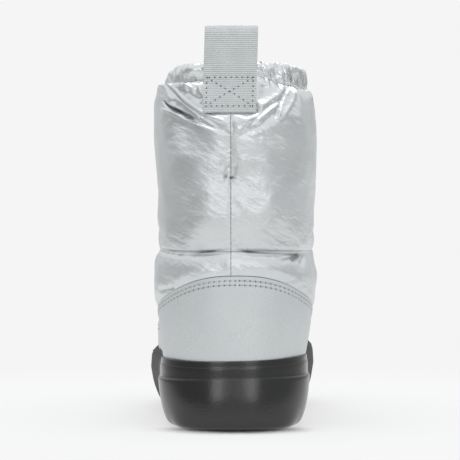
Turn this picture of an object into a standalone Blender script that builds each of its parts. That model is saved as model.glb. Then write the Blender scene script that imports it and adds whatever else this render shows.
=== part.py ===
"""Camp bootie for the left foot: a quilted pull-on boot on a black unit sole.

The frame is in metres with +Z up. +Y runs from heel to toe, -X is the outer (lateral)
side, and the origin lies on the floor under the middle of the sole.
"""

import math
from collections import namedtuple

import bmesh
import bpy
import numpy as np

MM = 0.001

# Driving sizes, in millimetres.
SOLE_LENGTH = 278.0
SOLE_HEEL_HALF = 43.6
SOLE_BALL_HALF = 51.0
COLLAR_HEIGHT = 192.0
CUFF_WALL = 6.0
LOOP_TOP = 226.0
TAPE_WIDTH = 30.0
TAPE_THICKNESS = 1.6
TAPE_SHIFT = -2.0
UPPER_WALL = 4.0
RAND_WALL = 1.5
INSOLE_THICKNESS = 5.0
RAND_FOOT = 3.0
GAP = 0.35
CUP_CLEARANCE = 0.1

# Shape of the foot in plan, in millimetres from the heel end of the sole.
HEEL_STATION = 60.0
BALL_STATION = {-1: 170.0, 1: 194.0}
ARCH_STATION = 114.0
ARCH_SPAN = 52.0
SWING_START = 120.0
TOE_SWING = 6.0
SHAFT_LEAN = 1.7
LEAN_START = 20.0
LEAN_END = 120.0
RIM_TILT = 0.02
HEEL_SQUARENESS = 2.6
TOE_SQUARENESS = 2.3

# Faceting: points round each section, and round each section of the cuff with its corner shape.
COLUMNS = 56
CUFF_CORNERS = 10
CUFF_SQUARENESS = 0.6

# The last: one row for each level section of the upper, in millimetres. back and front are its
# ends from the heel end of the sole, heel and ball its half widths, arch_cut what the inner
# waist loses, and the two rounds are the lengths of its rounded ends.
Section = namedtuple("Section", "height back front heel ball arch_cut back_round front_round")
LAST = (
    Section(10, 8.6, 261, 36.2, 42.0, 4, 44, 92),
    Section(24, 6.6, 265, 37.6, 43.4, 4, 44, 92),
    Section(38, 5.2, 268.5, 39.0, 44.6, 4, 44, 90),
    Section(50, 4.4, 268.5, 40.7, 45.0, 3, 45, 88),
    Section(60, 4.0, 264, 42.0, 44.7, 2, 46, 86),
    Section(70, 4.0, 250, 42.7, 44.3, 1, 47, 84),
    Section(80, 4.2, 226, 43.2, 43.9, 0, 49, 82),
    Section(90, 4.8, 194, 43.3, 43.6, 0, 52, 78),
    Section(100, 5.2, 165, 43.3, 43.3, 0, 55, 72),
    Section(116, 5.0, 142, 42.5, 42.5, 0, 58, 66),
    Section(140, 5.0, 129, 42.6, 42.6, 0, 60, 62),
    Section(162, 6.3, 123.5, 43.7, 43.7, 0, 60, 60),
    Section(176, 8.7, 120.5, 44.3, 44.3, 0, 57, 58),
    Section(186, 11.0, 117, 43.4, 43.4, 0, 54, 56),
    Section(192, 12.5, 115, 40.0, 40.0, 0, 51, 54),
    Section(208, 14.0, 113, 39.0, 39.0, 0, 50, 52),
)

# The sole's plan, on the same columns as a section of the last.
SOLE_PLAN = Section(0, 0.0, SOLE_LENGTH, SOLE_HEEL_HALF, SOLE_BALL_HALF, 3, 47, 92)

# Lines round the boot at distances along it from the heel end, in millimetres: heights, and for
# VAMP_PUFF how far the quilt over the foot stands out from the last.
CUP_FLOOR = {0: 21.0, 60: 21.0, 140: 14.5, 205: 13.0, 278: 20.0}
SOLE_RIM = {0: 38.0, 6: 38.6, 50: 39.6, 120: 40.0, 195: 39.2, 245: 42.5, 278: 47.0}
SOLE_LEDGE = {0: 28.0, 60: 28.4, 140: 27.6, 205: 26.4, 278: 34.0}
RAND_TOP = {0: 85.5, 5: 82.5, 14: 77.6, 38: 70.0, 75: 63.0, 115: 57.5, 170: 54.5, 225: 56.0, 278: 60.0}
ANKLE_SEAM = {0: 99.0, 80: 99.6, 160: 101.5, 278: 106.0}
PUFF_SHOULDER = {0: 163.0, 12: 172.0, 59: 180.0, 127: 189.0, 278: 186.0}
CUFF_TOP = {0: 205.85, 9: 205.0, 29: 204.2, 56: 203.3, 90: 202.6, 278: 201.6}
VAMP_PUFF = {0: 3.4, 70: 3.4, 130: 2.2, 278: 2.6}

# Puff of the quilted shaft between two of those lines, as height over the last.
SHAFT_PUFF = 3.6
PUFF_SHARPNESS = 0.55

# Underside: flat under heel and forefoot, with a low arch and a toe spring, in millimetres.
ARCH_RISE = 5.0
ARCH_MIDDLE = 118.0
ARCH_HALF_LENGTH = 36.0
TOE_SPRING = 12.0
TOE_SPRING_START = 205.0

# Side of the sole from the tread up to the lip: inset from the plan at the upright back of the heel
# and at its sides, where a block ends in a ledge, and along the smooth forefoot; the line that the
# height counts from, and the height over that line.
Step = namedtuple("Step", "back heel fore line lift")
SOLE_STEPS = (
    Step(3.0, 8.5, 12.0, "underside", 0.0),
    Step(1.6, 6.0, 9.5, "underside", 1.2),
    Step(0.7, 4.2, 7.2, "underside", 4.0),
    Step(0.2, 2.6, 4.5, "underside", 9.0),
    Step(0.1, 1.0, 1.7, "underside", 16.5),
    Step(0.6, 0.15, 0.35, "ledge", -2.2),
    Step(0.8, 0.0, 0.15, "ledge", -0.8),
    Step(1.1, 0.35, 0.05, "ledge", 0.0),
    Step(1.4, 1.2, 0.0, "ledge", 0.1),
    Step(1.95, 1.3, 0.5, "rim", -4.2),
    Step(2.25, 1.7, 0.9, "rim", -3.6),
    Step(2.5, 1.9, 2.4, "rim", -0.7),
)
BACK_END = 24.0
BLOCK_END = 52.0
BLOCK_FADE = 14.0

# Tread: chevron grooves across heel and forefoot, in millimetres.
GROOVE_WIDTH = 4.5
GROOVE_DEPTH = 3.0
GROOVE_SLANT = math.radians(14)
GROOVE_MARGIN = 14.0
GROOVE_STATIONS = (30.0, 44.0, 58.0, 72.0, 160.0, 174.0, 188.0, 202.0, 216.0, 230.0)

# Pull loop: the two legs of the folded tape, in millimetres.
LOOP_FOOT = 176.5
LOOP_FOOT_LIFT = 0.8
LOOP_FOOT_RUN = 7.0
LOOP_INNER_END = 181.0
LOOP_INNER_FLARE = 0.6
LOOP_BEND = 5.0
FINGER_ROOM = 1.5
LOOP_ARC_STEPS = 8
TAPE_COLUMNS = 7

COLOURS = {
    "silver_cloth": ((0.70, 0.72, 0.73), 0.34, 0.85),
    "cuff_cloth": ((0.70, 0.72, 0.73), 0.34, 0.85),
    "grey_synthetic": ((0.58, 0.61, 0.62), 0.55, 0.0),
    "black_rubber": ((0.025, 0.025, 0.027), 0.5, 0.0),
    "grey_tape": ((0.55, 0.58, 0.59), 0.8, 0.0),
    "grey_felt": ((0.45, 0.46, 0.47), 0.9, 0.0),
}


def smooth_curve(x, knots, values):
    """A cubic curve through the knots, with each slope taken from the neighbours."""
    knots, values = np.asarray(knots, float), np.asarray(values, float)
    slopes = np.gradient(values, knots)
    x = np.clip(x, knots[0], knots[-1])
    i = np.clip(np.searchsorted(knots, x) - 1, 0, len(knots) - 2)
    span = knots[i + 1] - knots[i]
    t = (x - knots[i]) / span
    from_start = values[i] * (1 + 2 * t) + slopes[i] * span * t
    from_end = values[i + 1] * (3 - 2 * t) - slopes[i + 1] * span * (1 - t)
    return from_start * (1 - t) ** 2 + from_end * t**2


def line_height(line, along):
    return smooth_curve(along, list(line), list(line.values()))


def ease(t):
    t = np.clip(t, 0, 1)
    return t * t * (3 - 2 * t)


def section_at(height):
    """The last's measures at these heights, by column name."""
    heights = [row.height for row in LAST]
    return Section(height, *(smooth_curve(height, heights, column) for column in list(zip(*LAST))[1:]))


def end_round(distance, length, squareness):
    """The share of the full width this far from the end of a section."""
    left = 1 - np.clip(distance / length, 0, 1)
    return (1 - left**squareness) ** (1 / squareness)


def plan_point(section, angle):
    """x and y on a level section, angle 0 at the heel and growing towards the inner side."""
    side = np.where(np.sin(angle) < 0, -1, 1)
    y = section.back + (section.front - section.back) * (1 - np.cos(angle)) / 2
    ball = np.where(side < 0, BALL_STATION[-1], BALL_STATION[1])
    half = section.heel + (section.ball - section.heel) * ease((y - HEEL_STATION) / (ball - HEEL_STATION))
    waist = np.clip(1 - ((y - ARCH_STATION) / ARCH_SPAN) ** 2, 0, 1) ** 2
    half = half - section.arch_cut * waist * (side > 0)
    half = half * end_round(y - section.back, section.back_round, HEEL_SQUARENESS)
    half = half * end_round(section.front - y, section.front_round, TOE_SQUARENESS)
    swing = TOE_SWING * np.clip((y - SWING_START) / (SOLE_LENGTH - SWING_START), 0, 1) ** 2
    lean = SHAFT_LEAN * ease((section.height - LEAN_START) / (LEAN_END - LEAN_START))
    return np.stack([swing + lean + side * half, y], axis=-1)


def last_point(height, angle):
    height, angle = np.broadcast_arrays(np.asarray(height, float), np.asarray(angle, float))
    plan = plan_point(section_at(height), angle)
    return np.concatenate([plan, height[..., None]], axis=-1)


def last_normal(height, angle):
    """The outward unit normal of the last."""
    step_up, step_round = 0.5, 0.01
    up = last_point(height + step_up, angle) - last_point(height - step_up, angle)
    around = last_point(height, angle + step_round) - last_point(height, angle - step_round)
    normal = np.cross(around, up)
    return normal / np.linalg.norm(normal, axis=-1, keepdims=True)


def over_last(height, angle, out):
    """A point this far outside the last."""
    return last_point(height, angle) + last_normal(height, angle) * np.asarray(out)[..., None]


def angles(columns=COLUMNS):
    return np.arange(columns) * (2 * math.pi / columns)


def nominal_along(angle):
    """How far along the boot a column lies, for reading the lines round it."""
    return SOLE_LENGTH * (1 - np.cos(angle)) / 2


def offset_ring(ring, distance):
    """A closed ring of x, y points moved outwards in plan by a distance."""
    tangent = np.roll(ring, -1, axis=0) - np.roll(ring, 1, axis=0)
    normal = np.stack([tangent[:, 1], -tangent[:, 0]], axis=-1)
    return ring + normal / np.linalg.norm(normal, axis=-1, keepdims=True) * np.reshape(distance, (-1, 1))


def underside(along):
    """Height of the tread: zero under heel and forefoot."""
    arch = np.clip(1 - ((along - ARCH_MIDDLE) / ARCH_HALF_LENGTH) ** 2, 0, 1) ** 2
    toe = np.clip((along - TOE_SPRING_START) / (SOLE_LENGTH - TOE_SPRING_START), 0, 1) ** 2
    return ARCH_RISE * arch + TOE_SPRING * toe


def floor_of_cup(along):
    return line_height(CUP_FLOOR, along)


def sole_plan():
    return plan_point(SOLE_PLAN, angles())


def frame_origin():
    """The middle of the sole in plan, which is where the part's own origin lies."""
    plan = plan_point(SOLE_PLAN, angles(720))
    return (plan.min(axis=0) + plan.max(axis=0)) / 2


def placed(points):
    """Millimetres from the heel end turned into metres in the part's frame."""
    centre = frame_origin()
    return (np.asarray(points, float) - [centre[0], centre[1], 0]) * MM


def material(name):
    colour, roughness, metallic = COLOURS[name]
    made = bpy.data.materials.new(name)
    made.use_nodes = True
    shader = made.node_tree.nodes["Principled BSDF"]
    shader.inputs["Base Color"].default_value = (*colour, 1)
    shader.inputs["Roughness"].default_value = roughness
    shader.inputs["Metallic"].default_value = metallic
    return made


def add_object(name, mesh, material_name, collection):
    mesh.shade_smooth()
    mesh.set_sharp_from_angle(angle=math.radians(35))
    mesh.materials.append(material(material_name))
    made = bpy.data.objects.new(name, mesh)
    collection.objects.link(made)
    return made


def ring_loft(name, rings, cap_first=False, cap_last=False):
    """A mesh of quads between closed rings of equal count, with strips across an end that is capped."""
    shape = bmesh.new()
    rows = [[shape.verts.new(point) for point in placed(ring)] for ring in rings]
    count = len(rows[0])
    for lower, upper in zip(rows, rows[1:]):
        for j in range(count):
            k = (j + 1) % count
            shape.faces.new((lower[j], lower[k], upper[k], upper[j]))
    for row in [rows[0]] * cap_first + [rows[-1]] * cap_last:
        for j in range(count // 2):
            strip = (row[j], row[j + 1], row[-j - 1], row[-j % count])
            shape.faces.new(tuple(dict.fromkeys(strip)))
    bmesh.ops.recalc_face_normals(shape, faces=shape.faces)
    mesh = bpy.data.meshes.new(name)
    shape.to_mesh(mesh)
    shape.free()
    return mesh


def add_wall(made, thickness, outwards):
    """Gives an open surface its thickness, on its outer or its inner side."""
    wall = made.modifiers.new("wall", "SOLIDIFY")
    wall.thickness = thickness * MM
    wall.offset = 1 if outwards else -1
    wall.use_even_offset = True
    wall.use_quality_normals = True


def rows_between(lower, upper, shares):
    return [lower + (upper - lower) * share for share in shares]


def puff_profile(share):
    return max(0.0, math.sin(math.pi * share)) ** PUFF_SHARPNESS


def make_upper(collection):
    """The quilted upper and shaft as one wall, open at the collar and at the sole."""
    around = angles()
    along = nominal_along(around)
    feather = floor_of_cup(along) + GAP
    rand_top = line_height(RAND_TOP, along)
    seam = line_height(ANKLE_SEAM, along)
    shoulder = line_height(PUFF_SHOULDER, along)
    collar = np.full_like(along, COLLAR_HEIGHT)
    quilt = (0.0, 0.06, 0.18, 0.36, 0.58, 0.8, 0.94)
    tall_quilt = (0.0, 0.04, 0.12, 0.25, 0.42, 0.6, 0.76, 0.9, 0.97)
    zones = (
        (feather, rand_top, (0.0, 0.3, 0.6, 0.85), 0.0),
        (rand_top, seam, quilt, line_height(VAMP_PUFF, along)),
        (seam, shoulder, tall_quilt, SHAFT_PUFF),
        (shoulder, collar, (0.0, 0.5, 1.0), 0.0),
    )
    rings = []
    for lower, upper, shares, puff in zones:
        for share, height in zip(shares, rows_between(lower, upper, shares)):
            rings.append(over_last(height, around, puff * puff_profile(share)))
    made = add_object("upper", ring_loft("upper", rings), "silver_cloth", collection)
    add_wall(made, UPPER_WALL, outwards=False)


def make_rand(collection):
    """The matte overlay: a high counter at the heel that runs on as a low rand round the toe."""
    around = angles()
    along = nominal_along(around)
    lower = floor_of_cup(along) + RAND_FOOT
    upper = line_height(RAND_TOP, along) - GAP
    heights = rows_between(lower, upper, (0.0, 0.3, 0.6, 0.85, 1.0))
    rings = [over_last(height, around, GAP) for height in heights]
    made = add_object("counter_rand", ring_loft("counter_rand", rings), "grey_synthetic", collection)
    add_wall(made, RAND_WALL, outwards=True)


def cup_wall_ring(height):
    """A ring of the cup's inner wall, just clear of the overlay."""
    plan = last_point(height, angles())[:, :2]
    return np.column_stack([offset_ring(plan, RAND_WALL + 2 * GAP + CUP_CLEARANCE), height])


def make_sole(collection, cutters):
    """The black unit sole: tread, stepped side, lip and the cup that takes the upper."""
    plan = sole_plan()
    along = nominal_along(angles())
    floor = floor_of_cup(along)
    tilt = RIM_TILT * plan[:, 0]
    rim = line_height(SOLE_RIM, along) + tilt
    lines = {"underside": underside(plan[:, 1]), "ledge": line_height(SOLE_LEDGE, along) + tilt, "rim": rim}
    aside = ease(along / BACK_END)
    forward = ease((along - BLOCK_END) / BLOCK_FADE)
    rings = []
    for step in SOLE_STEPS:
        inset = step.back + (step.heel - step.back) * aside + (step.fore - step.heel) * forward
        ring = offset_ring(plan, -inset)
        rings.append(np.column_stack([ring, lines[step.line] + step.lift]))
    lip = 0.5 * (rings[-1][:, :2] + cup_wall_ring(rim)[:, :2])
    rings.append(np.column_stack([lip, rim]))
    rings += [cup_wall_ring(height) for height in (rim - 0.5, 0.5 * (rim + floor), floor)]
    made = add_object("sole", ring_loft("sole", rings, True, True), "black_rubber", collection)
    for station in GROOVE_STATIONS:
        for side in (-1, 1):
            cut_groove(made, station, side, cutters)


def cut_groove(sole, station, side, cutters):
    """One half of a chevron groove in the tread, from the centre line to near the edge."""
    plan = plan_point(SOLE_PLAN, angles(720))
    edge = plan[(plan[:, 0] * side > 0) & (abs(plan[:, 1] - station) < 4)][:, 0] * side
    reach = edge.min() - GROOVE_MARGIN
    length = reach / math.cos(GROOVE_SLANT)
    shape = bmesh.new()
    bmesh.ops.create_cube(shape, size=1)
    size = np.array([length + 2, GROOVE_WIDTH, 2 * GROOVE_DEPTH]) * MM
    bmesh.ops.scale(shape, vec=size, verts=shape.verts)
    bmesh.ops.translate(shape, vec=(side * length / 2 * MM, 0, 0), verts=shape.verts)
    mesh = bpy.data.meshes.new("groove")
    shape.to_mesh(mesh)
    shape.free()
    cutter = bpy.data.objects.new("groove", mesh)
    cutters.objects.link(cutter)
    cutter.location = placed([[0, station, underside(station)]])[0]
    cutter.rotation_euler.z = -side * GROOVE_SLANT
    cutter.hide_render = True
    cutter.display_type = "WIRE"
    cut = sole.modifiers.new("groove", "BOOLEAN")
    cut.operation = "DIFFERENCE"
    cut.object = cutter


def make_insole(collection):
    """The footbed, lying on the floor of the cup inside the upper."""
    around = angles()
    floor = floor_of_cup(nominal_along(around)) + GAP
    rings = []
    for height in (floor, floor + INSOLE_THICKNESS):
        plan = last_point(height, around)[:, :2]
        rings.append(np.column_stack([offset_ring(plan, -UPPER_WALL - 2 * GAP), height]))
    add_object("insole", ring_loft("insole", rings, True, True), "grey_felt", collection)


def make_cuff(collection):
    """The elastic casing round the collar: a soft ring on the top edge of the upper."""
    around = angles()
    foot = COLLAR_HEIGHT + GAP
    half_height = (line_height(CUFF_TOP, nominal_along(around)) - foot) / 2
    path = offset_ring(last_point(COLLAR_HEIGHT, around)[:, :2], -UPPER_WALL / 2)
    rings = []
    for corner in range(CUFF_CORNERS):
        turn = 2 * math.pi * corner / CUFF_CORNERS
        across, up = (math.copysign(abs(f(turn)) ** CUFF_SQUARENESS, f(turn)) for f in (math.cos, math.sin))
        ring = offset_ring(path, CUFF_WALL / 2 * across)
        rings.append(np.column_stack([ring, foot + half_height * (1 + up)]))
    made = add_object("cuff", ring_loft("cuff", rings + rings[:1]), "cuff_cloth", collection)
    weld = made.modifiers.new("close", "WELD")
    weld.merge_threshold = 1e-5


def loop_path():
    """Side view of the folded tape, as y and z: up the outside, over, and down the inside."""
    outside = TAPE_THICKNESS / 2 + GAP
    cuff_back = section_at(COLLAR_HEIGHT).back + UPPER_WALL / 2
    outer_leg = cuff_back - CUFF_WALL / 2 - outside
    inner_leg = cuff_back + CUFF_WALL / 2 + outside + FINGER_ROOM
    leg_top = LOOP_TOP - TAPE_THICKNESS / 2 - LOOP_BEND
    lifted = outside + LOOP_FOOT_LIFT
    path = [(over_last(height, 0.0, lifted)[1], height) for height in (LOOP_FOOT, LOOP_FOOT + LOOP_FOOT_RUN)]
    path += [(outer_leg, height) for height in (COLLAR_HEIGHT, CUFF_TOP[0], leg_top)]
    middle, reach = (outer_leg + inner_leg) / 2, (inner_leg - outer_leg) / 2
    for step in range(1, LOOP_ARC_STEPS):
        turn = math.pi * step / LOOP_ARC_STEPS
        path.append((middle - reach * math.cos(turn), leg_top + LOOP_BEND * math.sin(turn)))
    path += [(inner_leg, height) for height in (leg_top, CUFF_TOP[0], COLLAR_HEIGHT)]
    path.append((inner_leg + LOOP_INNER_FLARE, LOOP_INNER_END))
    return path


def collar_wrap(x):
    """How far forward the back of the collar has curved at this distance from its middle."""
    collar = section_at(COLLAR_HEIGHT)
    left = (1 - (np.abs(x) / collar.heel) ** HEEL_SQUARENESS) ** (1 / HEEL_SQUARENESS)
    return collar.back_round * (1 - left)


def make_pull_loop(collection):
    """The pull loop: one length of tape folded over the back of the collar."""
    across = TAPE_SHIFT + np.linspace(-TAPE_WIDTH / 2, TAPE_WIDTH / 2, TAPE_COLUMNS)
    wrap = collar_wrap(across - SHAFT_LEAN)
    shape = bmesh.new()
    rows = []
    for y, z in loop_path():
        strip = np.column_stack([across, y + wrap, np.full_like(across, z)])
        rows.append([shape.verts.new(point) for point in placed(strip)])
    for lower, upper in zip(rows, rows[1:]):
        for j in range(TAPE_COLUMNS - 1):
            shape.faces.new((lower[j], lower[j + 1], upper[j + 1], upper[j]))
    mesh = bpy.data.meshes.new("pull_loop")
    shape.to_mesh(mesh)
    shape.free()
    made = add_object("pull_loop", mesh, "grey_tape", collection)
    wall = made.modifiers.new("tape", "SOLIDIFY")
    wall.thickness = TAPE_THICKNESS * MM
    wall.offset = 0
    wall.use_even_offset = True


def main():
    for old in list(bpy.data.objects):
        bpy.data.objects.remove(old)
    parts = bpy.data.collections.new("camp_bootie")
    cutters = bpy.data.collections.new("cutters")
    for collection in (parts, cutters):
        bpy.context.scene.collection.children.link(collection)
    make_sole(parts, cutters)
    make_insole(parts)
    make_upper(parts)
    make_rand(parts)
    make_cuff(parts)
    make_pull_loop(parts)


main()
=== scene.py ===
"""Camp bootie, dressed: quilted silver shell, matte counter, moulded cup sole, gathered cuff and tape loop.

Lengths in the tables are millimetres from the heel end of the sole, as the maker measures the last.
"""

import math
from collections import namedtuple

import bmesh
import bpy
import numpy as np
from bpy.props import FloatProperty, FloatVectorProperty, PointerProperty
from mathutils import Matrix, Vector, noise


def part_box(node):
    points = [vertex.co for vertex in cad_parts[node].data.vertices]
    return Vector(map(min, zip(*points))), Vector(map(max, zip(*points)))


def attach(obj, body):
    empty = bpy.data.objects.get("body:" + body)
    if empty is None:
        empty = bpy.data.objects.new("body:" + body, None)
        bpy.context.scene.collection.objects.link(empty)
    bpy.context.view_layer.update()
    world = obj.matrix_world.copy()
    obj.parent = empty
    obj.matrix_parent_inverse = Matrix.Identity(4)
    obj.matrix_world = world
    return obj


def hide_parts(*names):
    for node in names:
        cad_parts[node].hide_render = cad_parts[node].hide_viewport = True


bl_info = {
    "name": "Camp Bootie",
    "version": (1, 0, 0),
    "blender": (4, 5, 0),
    "location": "View3D > Sidebar > Bootie",
    "description": "Dresses the solids of a quilted camp bootie with cloth, stitching and moulded rubber",
    "category": "Add Mesh",
}

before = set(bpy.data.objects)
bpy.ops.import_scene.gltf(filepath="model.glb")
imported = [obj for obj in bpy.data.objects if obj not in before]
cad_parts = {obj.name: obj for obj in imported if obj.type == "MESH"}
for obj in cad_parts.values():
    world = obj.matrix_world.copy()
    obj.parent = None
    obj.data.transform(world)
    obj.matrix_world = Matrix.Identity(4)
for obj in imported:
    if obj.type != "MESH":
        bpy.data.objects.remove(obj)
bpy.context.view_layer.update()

MM = 0.001
WELD = 1e-6
BODY = "root"

# Driving sizes of the boot, in millimetres.
SOLE_LENGTH = 278.0
SOLE_HEEL_HALF = 43.6
SOLE_BALL_HALF = 51.0
COLLAR_HEIGHT = 192.0
CUFF_WALL = 6.0
LOOP_TOP = 226.0
TAPE_WIDTH = 30.0
TAPE_THICKNESS = 1.6
TAPE_SHIFT = -2.0
TAPE_SLANT = 0.03
TAPE_UPRIGHT = 214.0
UPPER_WALL = 4.0
SHELL_WALL = 2.6
LINING_GAP = 0.2
RAND_WALL = 1.5
RAND_FOOT = 3.0
RAND_EDGE = 0.5
RAND_SHOULDER = (0.2, 0.08)
RAND_ROUND = 0.35
RAND_BACK_DROP = 0.3
INSOLE_THICKNESS = 5.0
GAP = 0.35
CUP_CLEARANCE = 0.1

# Shape of the foot in plan.
HEEL_STATION = 60.0
BALL_STATION = {-1: 170.0, 1: 194.0}
ARCH_STATION = 114.0
ARCH_SPAN = 52.0
SWING_START = 120.0
TOE_SWING = 6.0
SHAFT_LEAN = 1.7
LEAN_START = 20.0
LEAN_END = 120.0
RIM_TILT = 0.02
HEEL_SQUARENESS = 2.6
TOE_SQUARENESS = 2.3

# The last: one row for each level section of the upper.
Section = namedtuple("Section", "height back front heel ball arch_cut back_round front_round")
LAST = (
    Section(10, 8.6, 261, 36.2, 42.0, 4, 44, 92),
    Section(24, 6.6, 265, 37.6, 43.4, 4, 44, 92),
    Section(38, 5.2, 268.5, 39.0, 44.6, 4, 44, 90),
    Section(50, 4.4, 268.5, 40.7, 45.0, 3, 45, 88),
    Section(60, 4.0, 264, 42.0, 44.7, 2, 46, 86),
    Section(70, 4.0, 250, 42.7, 44.3, 1, 47, 84),
    Section(80, 4.2, 226, 43.2, 43.9, 0, 49, 82),
    Section(90, 4.8, 194, 43.3, 43.6, 0, 52, 78),
    Section(100, 5.2, 165, 43.3, 43.3, 0, 55, 72),
    Section(116, 5.0, 142, 42.5, 42.5, 0, 58, 66),
    Section(140, 5.0, 129, 42.6, 42.6, 0, 60, 62),
    Section(162, 6.3, 123.5, 43.7, 43.7, 0, 60, 60),
    Section(176, 8.7, 120.5, 44.3, 44.3, 0, 57, 58),
    Section(186, 11.0, 117, 43.4, 43.4, 0, 54, 56),
    Section(192, 12.5, 115, 40.0, 40.0, 0, 51, 54),
    Section(208, 14.0, 113, 39.0, 39.0, 0, 50, 52),
)
SHAFT_MIDDLE = 150.0
SOLE_PLAN = Section(0, 0.0, SOLE_LENGTH, SOLE_HEEL_HALF, SOLE_BALL_HALF, 3, 47, 92)

# Lines round the boot at distances along it from the heel end: heights, and for VAMP_PUFF how far
# the quilt over the foot stands out from the last.
CUP_FLOOR = {0: 21.0, 60: 21.0, 140: 14.5, 205: 13.0, 278: 20.0}
SOLE_RIM = {0: 38.0, 6: 38.6, 50: 39.6, 120: 40.0, 195: 39.2, 245: 42.5, 278: 47.0}
SOLE_LEDGE = {0: 28.0, 60: 28.4, 140: 27.6, 205: 26.4, 278: 34.0}
RAND_TOP = {0: 85.5, 5: 82.5, 14: 77.6, 38: 70.0, 75: 63.0, 115: 57.5, 170: 54.5, 225: 56.0, 278: 60.0}
ANKLE_SEAM = {0: 99.0, 80: 99.6, 160: 101.5, 278: 106.0}
PUFF_SHOULDER = {0: 163.0, 12: 172.0, 59: 180.0, 127: 189.0, 278: 186.0}
CUFF_TOP = {0: 205.85, 9: 205.0, 29: 204.2, 56: 203.3, 90: 202.6, 278: 201.6}
VAMP_PUFF = {0: 3.4, 70: 3.4, 130: 2.2, 278: 2.6}
PUFF_SHARPNESS = 0.55

# Places round the collar are distances from the middle of the heel, growing towards the inner side.
# CUFF_FOOT is the height where the cuff's casing starts. The corner rises and the dent falls back.
CUFF_FOOT = {
    -170: 192.0, -90: 192.6, -62: 194.0, -38: 194.4, -22: 195.0, -12: 196.5, 0: 197.0, 12: 197.8,
    17: 197.0, 23: 194.2, 31: 192.6, 46: 191.6, 70: 192.0, 170: 192.0,
}
CUFF_LAP = 1.0
CUFF_INSET = 0.6
CUFF_SQUARE = 0.9
CUFF_FOOT_SQUARE = 0.4
Rise = namedtuple("Rise", "place size reach")
CUFF_CORNER = Rise(-40, 1.1, 13)
CUFF_DENT = Rise(-19, 2.0, 6)

# Gathers of the cuff: the ranges that the pleats' widths and heights are drawn from, where they sit
# tight, and the stretches, with a fade at each end, where the casing is smoother.
Stretch = namedtuple("Stretch", "start end rise fall")
PLEAT_SEED = 5
PLEAT_END = 200.0
PLEAT_WIDTHS = (1.5, 3.2)
PLEAT_HEIGHTS = (0.4, 1.5)
PLEAT_ROUND = 2.4
PLEAT_SINK = 0.45
LOOSE_SHARE = 1.7
TIGHT_START = 24.0
TIGHT_END = 60.0
SMOOTH_CASING = Stretch(-82, -2, 14, 10)
SMOOTH_SHARE = 0.8
BEHIND_TAPE = Stretch(-26, 20, 8, 8)
BEHIND_TAPE_SHARE = 0.75
PLEAT_OUTSIDE = 0.75
PLEAT_INSIDE = 0.5
PLEAT_ABOVE = 0.8
PLEAT_LEAN = 1.6
PLEAT_SWAY = 0.6
PLEAT_SWAY_WAVE = 2.7
PLEAT_SWAY_TURN = 2.4

# The shell's puff round the collar: pinched at the back of the outer side and at the front, and rounded
# off towards the cuff, most on the inner side. Below, how the gathers and the crumple fade.
OUTER_BACK = Stretch(-50, 2, 16, 8)
OUTER_PINCH = 0.25
FRONT_START = 80.0
FRONT_FADE = 30.0
FRONT_PINCH = 0.6
COLLAR_ROUND = 3.0
COLLAR_ROUND_END = 44.0
COLLAR_ROUND_FADE = 20.0
VAMP_TUCK = 0.12
RAND_LAP = 0.4
GATHER_HANG = 12.0
GATHER_HANG_ROUND = 1.5
CRUMPLE_LOW_FADE = 6.0
CRUMPLE_HIGH_FADE = 4.0

# Room between the shell and the tape that presses on it, growing away from the tape's edge.
TAPE_EASE = 0.9
TAPE_ROOM = 2.9
TAPE_SOFT = 0.35
LEAST_WALL = 0.5

# Back seam of the shaft: its place, its stitches and the heights where it draws the cloth. FOLD_BELT is
# the stretch of heights over which the cloth grows glossier towards the folds.
SEAM_X = -2.1
SEAM_PITCH = 2.8
SEAM_DRAWN = (107.0, 148.0)
FAR_FROM_SEAM = 99.0
FOLD_BELT = (155, 178)

# The sole: its underside, the steps of its side from tread to lip, its stitches and its tread grooves.
# HEEL_GLOSS_END is along the boot in the part's frame, in metres.
ARCH_RISE = 5.0
ARCH_MIDDLE = 118.0
ARCH_HALF_LENGTH = 36.0
TOE_SPRING = 12.0
TOE_SPRING_START = 205.0
Step = namedtuple("Step", "back heel fore line lift")
SOLE_STEPS = (
    Step(2.0, 8.5, 12.0, "underside", 0.0),
    Step(0.6, 6.0, 9.5, "underside", 1.2),
    Step(0.12, 4.2, 7.2, "underside", 4.0),
    Step(0.05, 2.6, 4.5, "underside", 9.0),
    Step(0.3, 1.0, 1.7, "underside", 16.5),
    Step(1.6, 0.1, 0.35, "ledge", -2.2),
    Step(1.8, 0.25, 0.15, "ledge", -0.8),
    Step(1.95, 0.9, 0.05, "ledge", 0.0),
    Step(2.0, 1.3, 0.0, "ledge", 0.1),
    Step(2.3, 1.3, 0.5, "rim", -4.2),
    Step(2.5, 1.7, 0.9, "rim", -3.6),
    Step(2.65, 1.9, 2.4, "rim", -0.7),
)
LIP_STITCH_START = 58.0
LIP_STITCH_DROP = 2.4
LIP_STITCH_INSET = 1.4
LIP_STITCH_FIRST = 1.0
LIP_STITCH_PITCH = 5.0
LIP_STITCH_LENGTH = 3.4
LIP_STITCH_WIDTH = 1.0
CORNER_CUTS = 2
CUP_LIP_DROP = 0.5
HEEL_GLOSS_END = (-0.1, -0.06)
BACK_END = 24.0
BLOCK_END = 52.0
BLOCK_FADE = 14.0
GROOVE_WIDTH = 4.5
GROOVE_DEPTH = 3.0
GROOVE_SLANT = math.radians(14)
GROOVE_MARGIN = 14.0
GROOVE_SIDE = 4.0
GROOVE_STATIONS = (30.0, 44.0, 58.0, 72.0, 160.0, 174.0, 188.0, 202.0, 216.0, 230.0)

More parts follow.
